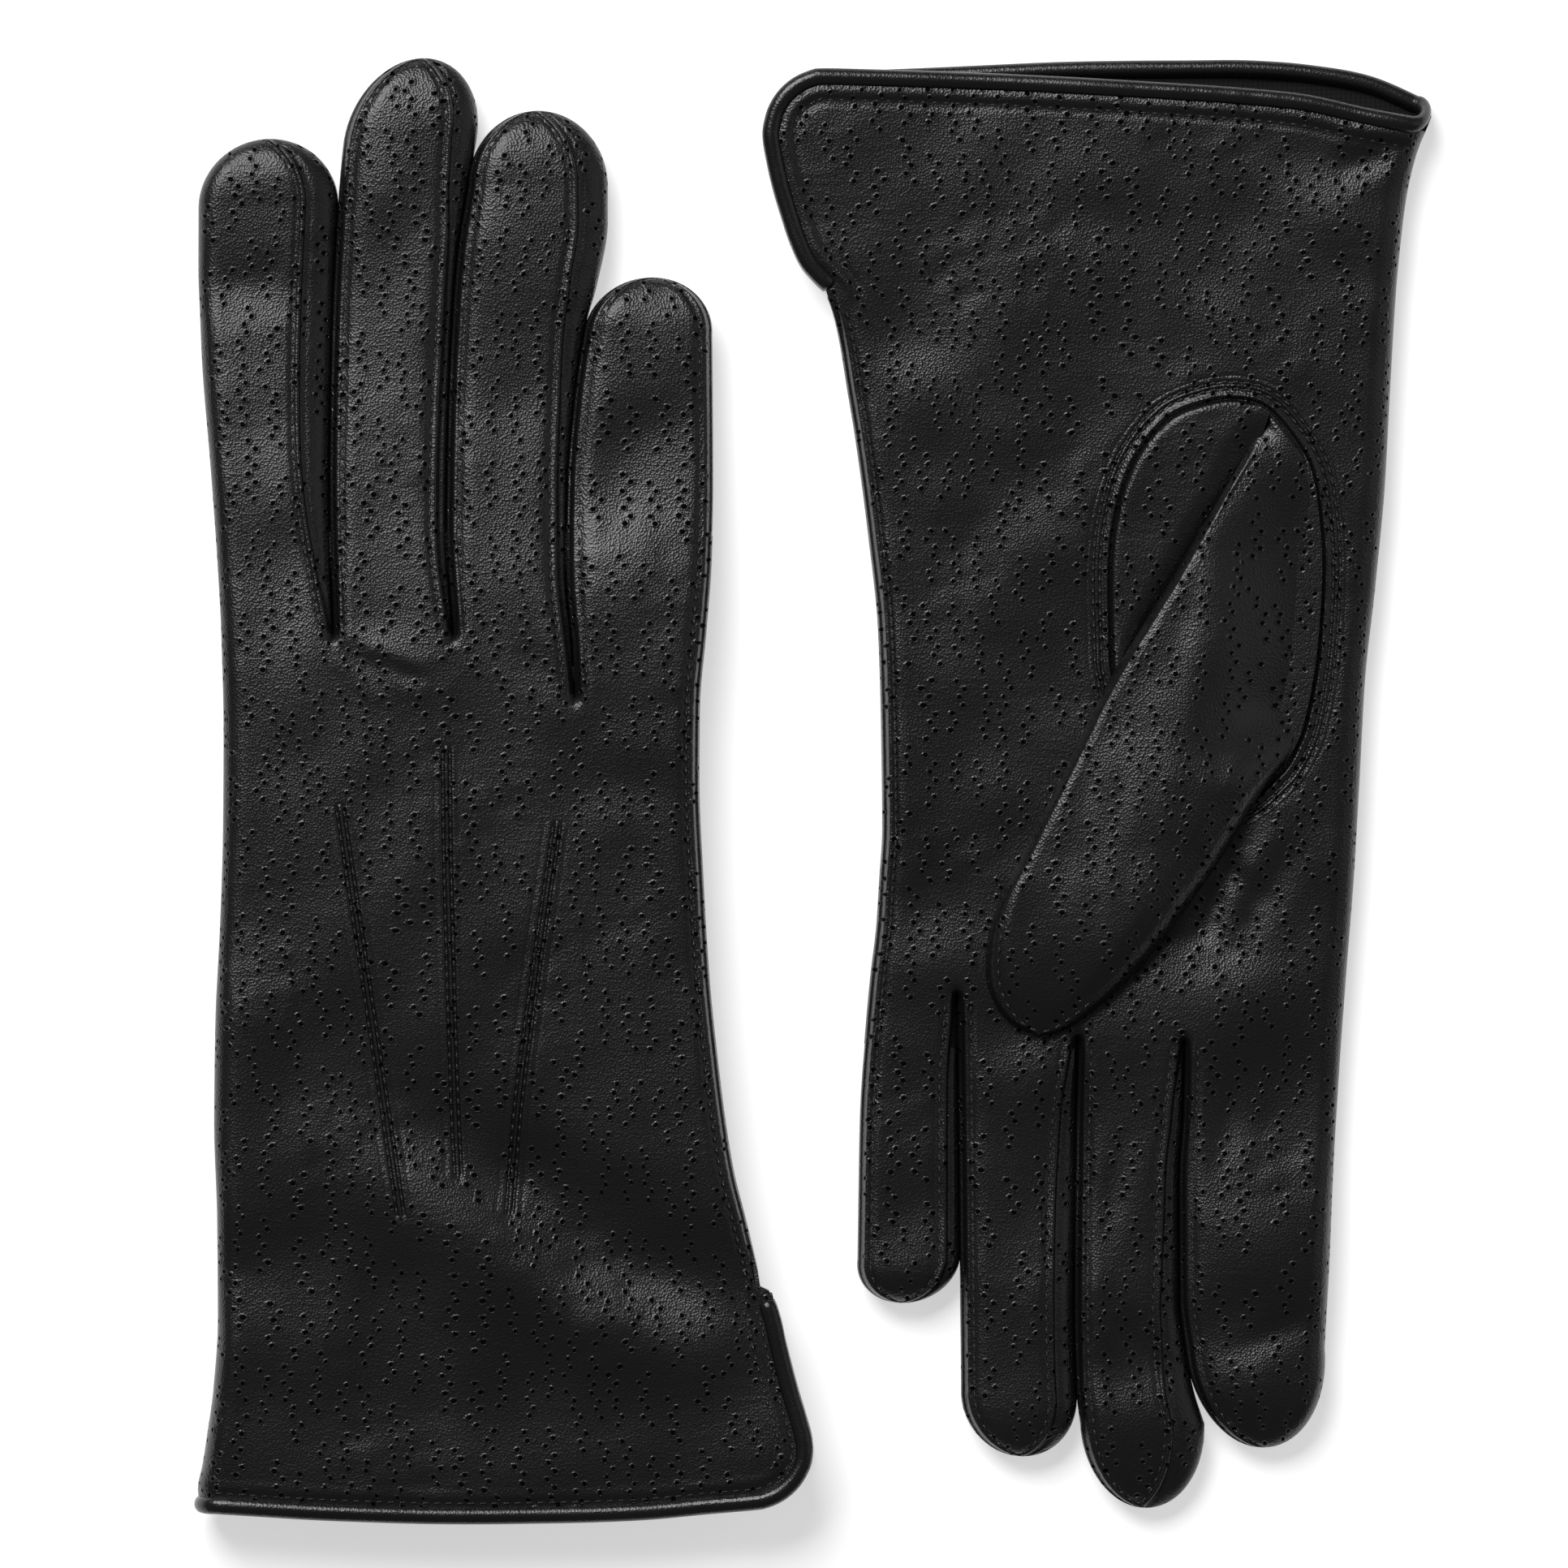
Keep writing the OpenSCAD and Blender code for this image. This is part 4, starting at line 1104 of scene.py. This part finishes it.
def thumb_section(g, s, left, right, t, outer):
    """The thumb's outer or inner face, across by s and along by t: sharply rolled up at its crease, nearly
    flat, then falling in a wide slope to its right edge. Up to where it comes free it grows out of the palm,
    and beyond it has a face of its own underneath."""
    width = np.linalg.norm(right - left, axis=1)[:, None]
    t = t[:, None]
    x = left[:, :1] + (right - left)[:, :1] * s
    y = left[:, 1:] + (right - left)[:, 1:] * s
    free = ease(.42, .56, t)                       # nought where it is sewn in, one where it lies free
    height = .5 + 4.9 * ease(-.02, .30, t)         # how high it stands over its inner face
    base = 7.0 + .9 * ease(0, .12, t) - 1.3 * ease(.02, .14, t) * (1 - free) * ease(.55, .15, s) * (not outer)
    if not outer:
        return x, y, base + 0 * s
    far = (1 - s) * width
    seated = palm_top(g, x, y) + .15 - .62 * bell(far, 0, .7)
    floor = seated + (base - seated) * np.maximum(free, (1 - s) ** 3)
    wide = np.minimum(9.5 - 2.5 * free, .75 * width + 1e-4)
    sharp = np.minimum(2.6 + 2.4 * ease(.72, .95, t), .5 * width + 1e-4)
    tip = (1 - ease(.8, 1, t) ** 2 * .55)
    slope = ease(0, np.minimum(21, .93 * width + 1e-4), far)
    fall = free * roll(far, wide, 2.0) + (1 - free) * slope
    shape = roll(s * width, sharp, 2.0) * fall * (1 - .12 * s)
    lip = .42 * bell(s * width, 1.15, .6) * ease(.02, .1, t) * (1 - ease(.8, .92, t))
    rough = .16 * ripple(x, y, g["seed"] + 40, 9, 18, 45) + .05 * ripple(x, y, g["seed"] + 41, 10, 5, 12)
    rough = rough + swells(x, y, THUMB_SWELLS)
    z = floor + (base + height * tip - floor) * shape + (lip + rough) * np.sqrt(np.maximum(shape, 0))
    return x, y, z


def thumb_piece(g, part, material):
    """The thumb's outer face, its two sides, or its inner face. Each takes the pores from a place of its own
    in the pattern."""
    p = Piece(f"{g['name']}_thumb_{part}_leather", g)
    left, right, t = thumb_lines(g, 170)
    flip = g["palm_up"]
    edge, far = .03, .97
    if part == "outer":
        s = edge + (far - edge) * spread(54, .75)[None, :]
        x, y, z = thumb_section(g, s, left, right, t, True)
        p.grid(x, y, thumb_level(g, z), flip=flip, u=x + 60)
    elif part == "inner":
        s = np.linspace(1, 0, 24)[None, :]
        x, y, z = thumb_section(g, s, left, right, t, False)
        p.grid(x, y, thumb_level(g, z), flip=flip, u=x + 900)
    else:
        for s in (edge * np.linspace(0, 1, 9) ** 2, 1 - (1 - far) * (1 - np.linspace(0, 1, 9)) ** 2):
            x, y, z = thumb_section(g, s[None, :], left, right, t, True)
            p.grid(x, y, thumb_level(g, z), flip=flip, u=arc_across(x, z) + 950)
    return p.build(material)


def thumb_foot(g, material):
    """The thumb's leather inside the oval beside the folded thumb: a shallow pillow whose edge dips into the
    seam, and which runs on under the thumb."""
    p = Piece(f"{g['name']}_thumb_foot_leather", g)
    up = g["palm_up"]
    edge, crease = spline(THUMB_FOOT, 90), spline(THUMB_CREASE, 90)
    s = spread(24, .8)[None, :]
    x = edge[:, :1] + (crease - edge)[:, :1] * s
    y = edge[:, 1:] + (crease - edge)[:, 1:] * s
    width = np.linalg.norm(crease - edge, axis=1)[:, None]
    near = (1 - s) * width
    lift = (.05 + .35 * roll(s * width, 2.6) - .75 * bell(s * width, 0, .5)
            - 1.3 * ease(6, 1.2, near) * ease(0, 8, y - 60))
    p.grid(x, y, lifted(g, x, y, up, lift), flip=up, u=x + 60)
    return p.build(material)


# ---- pieces of the fingers -------------------------------------------------------------------------

def finger_strip(g, f, up, material):
    """The finger's upper or lower strip, between its two seams."""
    p = Piece(f"{g['name']}_{FINGERS[f]}_{layer_name(g, up)}_leather", g)
    y, narrow, beyond = rows_of(g, f)
    left, right, sl, sr = finger_lines(g, f, y, narrow, beyond, up)
    x = sl + (sr - sl) * spread(30)[None, :]
    z = finger_height(g, f, x, y, narrow, beyond, left, right, up)
    p.grid(x, y, z, flip=not up, u=x + (0 if up else OTHER_LAYER))
    return p.build(material)


def finger_side(p, g, f, right_side):
    """One side of the finger, from its upper seam round its outline to its lower seam."""
    y, narrow, beyond = rows_of(g, f)
    xs, zs = [], []
    out = 1 - (1 - thin_ends(np.linspace(0, 1, 9))[None, :]) ** 1.7
    for up, fraction in ((right_side, out), (not right_side, out[:, ::-1])):
        left, right, sl, sr = finger_lines(g, f, y, narrow, beyond, up)
        x = sr + (right - sr) * fraction if right_side else sl + (left - sl) * fraction
        xs.append(x)
        zs.append(finger_height(g, f, x, y, narrow, beyond, left, right, up))
    x, z = np.hstack(xs), np.hstack(zs)
    own_place = 420 + 40 * f + (20 if right_side else 0)
    folded = f == 0 and not right_side
    p.grid(x, y, z, u=unrolled(x, z) if folded else arc_across(x, z) + own_place)


def side_pieces(f):
    """Which named pieces make finger f's sides: (name, left side, right side)."""
    return {0: [("fold", True, False), ("fourchette", False, True)],
            1: [("fourchettes", True, True)], 2: [("fourchettes", True, True)],
            3: [("fourchette", True, False), ("seam", False, True)]}[f]


def finger_stitches(g, f, up):
    """The lines along which finger f is stitched: inside each sewn seam, up to near its tip."""
    y, narrow, beyond = rows_of(g, f)
    left, right, sl, sr = finger_lines(g, f, y, narrow, beyond, up)
    keep = ((right - left) / 2 > 3.2).ravel()
    lines = []
    for x in (sl + SEWN_IN, sr - SEWN_IN)[0 if f > 0 else 1:]:
        z = finger_height(g, f, x, y, narrow, beyond, left, right, up)
        lines.append(np.column_stack([x, y, z])[keep])
    return lines


def joined_runs(g, f, up):
    """The two lines inside finger f's seams that are stitched on the hand, from each crotch to the split."""
    lines = []
    for right_side in (False, True):
        k = f if right_side else f - 1
        if k < 0 or k > 2:
            continue
        y = np.linspace(crotches(g, up)[k] + 1.2, SPLIT - .6, 60)
        _, sl, sr, _ = hand_columns(g, f, y, up)
        if y[0] < y[-1] - 2:
            lines.append(np.column_stack([sr - SEWN_IN if right_side else sl + SEWN_IN, y]))
    return lines


def sew(p, g, path, up, size, lift=0.0, trench=True):
    """A row of stitches along a flat path on the hand, raised outwards off its surface by lift."""
    z = hand_height(g, path[:, 0], path[:, 1], up, trench) + (lift if up else -lift)
    stitches(p, np.column_stack([path, z]), up, *size)


def hand_stitching(g, material, size):
    """Every line of stitches that stays with the hand: the cuff and vent, the sewn side, the points, the
    thumb's oval, and the ends of the finger seams."""
    p = Piece(f"{g['name']}_hand_stitches", g)
    for up in (True, False):
        for row in g["cuff_rows"]:
            q = hem_path(g, up, row, 260)[4:]
            sew(p, g, q[q[:, 1] < g["vent"] - 2.0], up, size)
        for row in g["vent_rows"]:
            q = hem_path(g, up, row, 260)
            sew(p, g, q[(q[:, 1] > 9) & (q[:, 1] < g["vent"] - 2.0)], up, size)
        y = np.linspace(g["vent"] + 2.5, SPLIT - .6, 200)
        sew(p, g, np.column_stack([hand_columns(g, 3, y, up)[2] - SEWN_IN, y]), up, size)
        for f in range(4):
            for line in joined_runs(g, f, up):
                sew(p, g, line, up, size)
    for path in POINTS:
        line = spline(path, 120)[2:-2]
        for s in (-.62, .62):
            sew(p, g, line + leftwards(line) * s, not g["palm_up"], size, -.52, False)
    line = spline(OVAL + OVAL[:1], 400)
    for s in OVAL_ROWS:
        sew(p, g, line + leftwards(line) * s, g["palm_up"], size, -.16, False)
    return p.build(material)


def finger_stitching(g, f, material, size):
    """The lines of stitches along finger f, on both its layers."""
    p = Piece(f"{g['name']}_{FINGERS[f]}_stitches", g)
    for up in (True, False):
        for line in finger_stitches(g, f, up):
            stitches(p, line, up, *size)
    return p.build(material)


def thumb_stitching(g, material, size):
    """The short seam that closes the thumb's tip, just inside its outline."""
    p = Piece(f"{g['name']}_thumb_stitches", g)
    left, right, t = thumb_lines(g, 400)
    inset = (2.2 / np.maximum(np.linalg.norm(right - left, axis=1), 5))[:, None]
    for s, start in ((inset, .80), (1 - inset, .9)):
        x, y, z = thumb_section(g, s, left, right, t, True)
        line = np.column_stack([x, y, thumb_level(g, z)])[(t > start) & (t < .985)]
        stitches(p, line, g["palm_up"], *size)
    return p.build(material)


def finger_sides(g, f, name, on_left, on_right, material):
    """The sides of finger f that one named piece makes."""
    p = Piece(f"{g['name']}_{FINGERS[f]}_{name}_leather", g)
    if on_left:
        finger_side(p, g, f, False)
    if on_right:
        finger_side(p, g, f, True)
    return p.build(material)


# ---- joining the frame -----------------------------------------------------------------------------

def world(g, x, y, z):
    """A place on one glove, from its plan's millimetres to the pair's metres."""
    return tuple(placed(g, np.array([[x, y, z]], float))[0])


def fixed(o, g, slot, *nodes):
    """o stays with the glove's hand, and stands for these nodes."""
    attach(o, g["name"] + "_hand")
    return stands(o, g, slot, *nodes)


def stands(o, g, slot, *nodes):
    """o stands for these nodes of its glove, which are hidden. slot is not used."""
    if nodes:
        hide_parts(*[g["name"] + "_" + n for n in nodes])
    return o


def bends(o, g, f, slot, *nodes):
    """o's transform is baked into its mesh, and it stands for these nodes. f is not used."""
    world(g, 0, BEND_FROM, HINGE_Z)
    world(g, 0, BEND_TO, HINGE_Z)
    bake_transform(o)
    return stands(o, g, slot, *nodes)


def opens(o, g, slot, *nodes):
    """o's transform is baked into its mesh, and it stands for these nodes."""
    world(g, -35, 95, 8)
    world(g, -22, 95, 8)
    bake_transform(o)
    return stands(o, g, slot, *nodes)


def finish_for(kind):
    """The material of that kind, made once, with the colours and shine of the panel's settings."""
    look = bpy.context.scene.glove_looks
    found = bpy.data.materials.get(kind)
    if found:
        return found
    if kind == "glove_leather":
        return leather(kind, look.roughness, pores=look.pore_depth)
    if kind == "plain_leather":
        return leather(kind, look.roughness - .04)
    if kind == "binding_leather":
        return leather(kind, look.roughness - .04, coarse=.5)
    if kind == "knitted_lining":
        return cloth(kind)
    if kind == "black_thread":
        return thread(kind)
    return plain_floor(kind, look.floor_value)


class GloveSizes(bpy.types.PropertyGroup):
    """How the gloves are sewn."""

    binding_radius: bpy.props.FloatProperty(
        name="Binding radius", description="Half the width of the rolled binding, in mm", default=1.5,
        min=.8, max=1.8)
    stitch_pitch: bpy.props.FloatProperty(
        name="Stitch pitch", description="From one stitch to the next, in mm", default=1.95, min=1, max=4)
    stitch_length: bpy.props.FloatProperty(
        name="Stitch length", description="The thread that shows in each stitch, in mm", default=1.25,
        min=.5, max=3)
    thread_radius: bpy.props.FloatProperty(
        name="Thread radius", description="Half the thickness of the thread, in mm", default=.26,
        min=.08, max=.4)


class GloveLooks(bpy.types.PropertyGroup):
    """How the gloves and the studio look."""

    roughness: bpy.props.FloatProperty(
        name="Leather roughness", description="Lower is glossier", default=.30, min=.1, max=.9,
        subtype="FACTOR")
    pore_depth: bpy.props.FloatProperty(
        name="Pore depth", description="How deep the embossed pores are pressed", default=1.0, min=0, max=3)
    floor_value: bpy.props.FloatProperty(
        name="Floor brightness", description="The pale floor's grey level", default=.85, min=0, max=1,
        subtype="FACTOR")
    light_power: bpy.props.FloatProperty(
        name="Light power", description="The main soft light's power, in watts", default=35, min=1, max=500)
    camera_height: bpy.props.FloatProperty(
        name="Camera height", description="The camera's distance above the floor", default=2.5, min=.5, max=5,
        unit="LENGTH")


def stitch_size(context):
    """The pitch, length and thickness of the stitches, from the panel's settings."""
    s = context.scene.glove_sizes
    return s.stitch_pitch, s.stitch_length, s.thread_radius


class GLOVES_OT_panels(bpy.types.Operator):
    """Adds the back and the palm of each hand"""
    bl_idname = "gloves.panels"
    bl_label = "Backs and palms"

    def execute(self, context):
        for g in (RIGHT, LEFT):
            for up in (True, False):
                fixed(hand_panel(g, up, finish_for("glove_leather")), g, "leather", layer_name(g, up))
        return {"FINISHED"}


class GLOVES_OT_sides(bpy.types.Operator):
    """Adds each hand's folded side and sewn side"""
    bl_idname = "gloves.sides"
    bl_label = "Folded and sewn sides"

    def execute(self, context):
        for g in (RIGHT, LEFT):
            fixed(fold_strip(g, finish_for("glove_leather")), g, "leather", "fold")
            fixed(side_seam(g, finish_for("plain_leather")), g, "leather", "side_seam")
        return {"FINISHED"}


class GLOVES_OT_linings(bpy.types.Operator):
    """Adds the lining inside each hand"""
    bl_idname = "gloves.linings"
    bl_label = "Linings"

    def execute(self, context):
        for g in (RIGHT, LEFT):
            for up in (True, False):
                fixed(lining_panel(g, up, finish_for("knitted_lining")), g, "lining",
                      layer_name(g, up) + "_lining")
        return {"FINISHED"}


class GLOVES_OT_bindings(bpy.types.Operator):
    """Adds the rolled binding round each cuff"""
    bl_idname = "gloves.bindings"
    bl_label = "Cuff bindings"

    def execute(self, context):
        for g in (RIGHT, LEFT):
            o = binding(g, finish_for("binding_leather"), context.scene.glove_sizes.binding_radius)
            fixed(o, g, "binding", "cuff_binding")
        return {"FINISHED"}


class GLOVES_OT_points(bpy.types.Operator):
    """Adds the three points on each back"""
    bl_idname = "gloves.points"
    bl_label = "Points"

    def execute(self, context):
        for g in (RIGHT, LEFT):
            fixed(point_strips(g, finish_for("glove_leather")), g, "leather", "points")
        return {"FINISHED"}


class GLOVES_OT_quirks(bpy.types.Operator):
    """Adds the small gussets between the fingers"""
    bl_idname = "gloves.quirks"
    bl_label = "Quirks"

    def execute(self, context):
        for g in (RIGHT, LEFT):
            fixed(quirk_gussets(g, finish_for("plain_leather")), g, "leather", "quirks")
        return {"FINISHED"}


class GLOVES_OT_thumbs(bpy.types.Operator):
    """Adds the thumbs, with the seams and the feet that join them to the palms"""
    bl_idname = "gloves.thumbs"
    bl_label = "Thumbs"

    def execute(self, context):
        for g in (RIGHT, LEFT):
            finish = finish_for("glove_leather")
            fixed(thumb_seam(g, finish), g, "leather", "thumb_welt")
            fixed(thumb_foot(g, finish), g, "leather", "thumb_foot")
            for part in ("outer", "side", "inner"):
                opens(thumb_piece(g, part, finish), g, "leather", "thumb_" + part)
            opens(thumb_stitching(g, finish_for("black_thread"), stitch_size(context)), g, "leather")
        return {"FINISHED"}


class GLOVES_OT_fingers(bpy.types.Operator):
    """Adds the backs and palms of the fingers"""
    bl_idname = "gloves.fingers"
    bl_label = "Finger backs and palms"

    def execute(self, context):
        for g in (RIGHT, LEFT):
            for f, name in enumerate(FINGERS):
                for up in (True, False):
                    o = finger_strip(g, f, up, finish_for("glove_leather"))
                    bends(o, g, f, "leather", f"{name}_{layer_name(g, up)}")
        return {"FINISHED"}


class GLOVES_OT_fourchettes(bpy.types.Operator):
    """Adds the sides of the fingers: fourchettes, the index's folded side and the little's sewn side"""
    bl_idname = "gloves.fourchettes"
    bl_label = "Finger sides"

    def execute(self, context):
        for g in (RIGHT, LEFT):
            for f, finger in enumerate(FINGERS):
                for name, on_left, on_right in side_pieces(f):
                    kind = "plain_leather" if name == "seam" else "glove_leather"
                    o = finger_sides(g, f, name, on_left, on_right, finish_for(kind))
                    bends(o, g, f, "leather", f"{finger}_{name}")
        return {"FINISHED"}


class GLOVES_OT_stitching(bpy.types.Operator):
    """Adds every line of stitches on the hands and fingers"""
    bl_idname = "gloves.stitching"
    bl_label = "Stitching"

    def execute(self, context):
        for g in (RIGHT, LEFT):
            size = stitch_size(context)
            fixed(hand_stitching(g, finish_for("black_thread"), size), g, "leather")
            for f in range(4):
                bends(finger_stitching(g, f, finish_for("black_thread"), size), g, f, "leather")
        return {"FINISHED"}


# In metres: the floor's height, what the camera sees across the floor, and the point that it looks down on.
FLOOR_Z = -.0006
VIEW_WIDTH = .2682
VIEW_CENTRE = (-.00562, .00104)


def soft_light(name, place, size, power):
    """A square light of that width, in metres, that faces the middle of the floor."""
    data = bpy.data.lights.new(name, "AREA")
    data.size, data.energy = size, power
    o = bpy.data.objects.new(name, data)
    bpy.context.scene.collection.objects.link(o)
    o.location = place
    way = -np.array(place, float)
    way /= np.linalg.norm(way)
    o.rotation_euler = (math.acos(-way[2]), 0, math.atan2(way[1], way[0]) + math.pi / 2 + math.pi)
    return o


class GLOVES_OT_stage(bpy.types.Operator):
    """Adds the pale floor, the soft lights and the camera straight above the gloves"""
    bl_idname = "gloves.stage"
    bl_label = "Studio"

    def execute(self, context):
        look = context.scene.glove_looks
        n, half = 3, 3.0
        x, y = np.meshgrid(np.linspace(-half, half, n), np.linspace(-half, half, n))
        mesh = bpy.data.meshes.new("studio_floor")
        v = np.stack([x.ravel(), y.ravel(), np.full(n * n, FLOOR_Z)], 1)
        mesh.from_pydata(v.tolist(), [], grid_quads(n, n).tolist())
        mesh.materials.append(finish_for("studio_floor"))
        floor = bpy.data.objects.new("studio_floor", mesh)
        context.scene.collection.objects.link(floor)
        power = look.light_power
        lights = [soft_light("main_light", (-.6, 1.15, 1.5), 1.1, power),
                  soft_light("side_light", (1.6, .3, 1.0), 1.5, power * .07)]
        surround = bpy.data.worlds.new("studio_light")
        surround.use_nodes = True
        background = surround.node_tree.nodes["Background"]
        background.inputs["Color"].default_value = (1, 1, 1, 1)
        background.inputs["Strength"].default_value = .11
        context.scene.view_settings.view_transform = "Standard"
        context.scene.world = surround
        data = bpy.data.cameras.new("camera")
        data.type, data.sensor_width = "PERSP", 36
        data.lens = data.sensor_width * look.camera_height / VIEW_WIDTH
        data.clip_start, data.clip_end = .05, 20
        camera = bpy.data.objects.new("camera", data)
        camera.location = (*VIEW_CENTRE, look.camera_height)
        context.scene.collection.objects.link(camera)
        context.scene.camera = camera
        return {"FINISHED"}


PIECES = (GLOVES_OT_panels, GLOVES_OT_sides, GLOVES_OT_linings, GLOVES_OT_bindings, GLOVES_OT_points,
          GLOVES_OT_quirks, GLOVES_OT_thumbs, GLOVES_OT_fingers, GLOVES_OT_fourchettes, GLOVES_OT_stitching,
          GLOVES_OT_stage)


class GLOVES_PT_sidebar(bpy.types.Panel):
    """The gloves' settings and pieces"""
    bl_idname = "GLOVES_PT_sidebar"
    bl_label = "Leather gloves"
    bl_space_type = "VIEW_3D"
    bl_region_type = "UI"
    bl_category = "Gloves"

    def draw(self, context):
        """Lists every setting, then every piece."""
        for group in (context.scene.glove_sizes, context.scene.glove_looks):
            for name in group.bl_rna.properties.keys():
                if name not in ("rna_type", "name"):
                    self.layout.prop(group, name)
        for operator in PIECES:
            self.layout.operator(operator.bl_idname)


CLASSES = (GloveSizes, GloveLooks, *PIECES, GLOVES_PT_sidebar)


def register():
    """Makes the settings, the pieces and the panel known to Blender."""
    for c in CLASSES:
        bpy.utils.register_class(c)
    bpy.types.Scene.glove_sizes = bpy.props.PointerProperty(type=GloveSizes)
    bpy.types.Scene.glove_looks = bpy.props.PointerProperty(type=GloveLooks)


def unregister():
    """Takes them away again."""
    del bpy.types.Scene.glove_sizes
    del bpy.types.Scene.glove_looks
    for c in reversed(CLASSES):
        bpy.utils.unregister_class(c)


def main():
    """Adds every piece in order."""
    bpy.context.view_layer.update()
    register()
    for operator in PIECES:
        getattr(bpy.ops.gloves, operator.bl_idname.split(".")[1])()


if __name__ == "__main__":
    main()
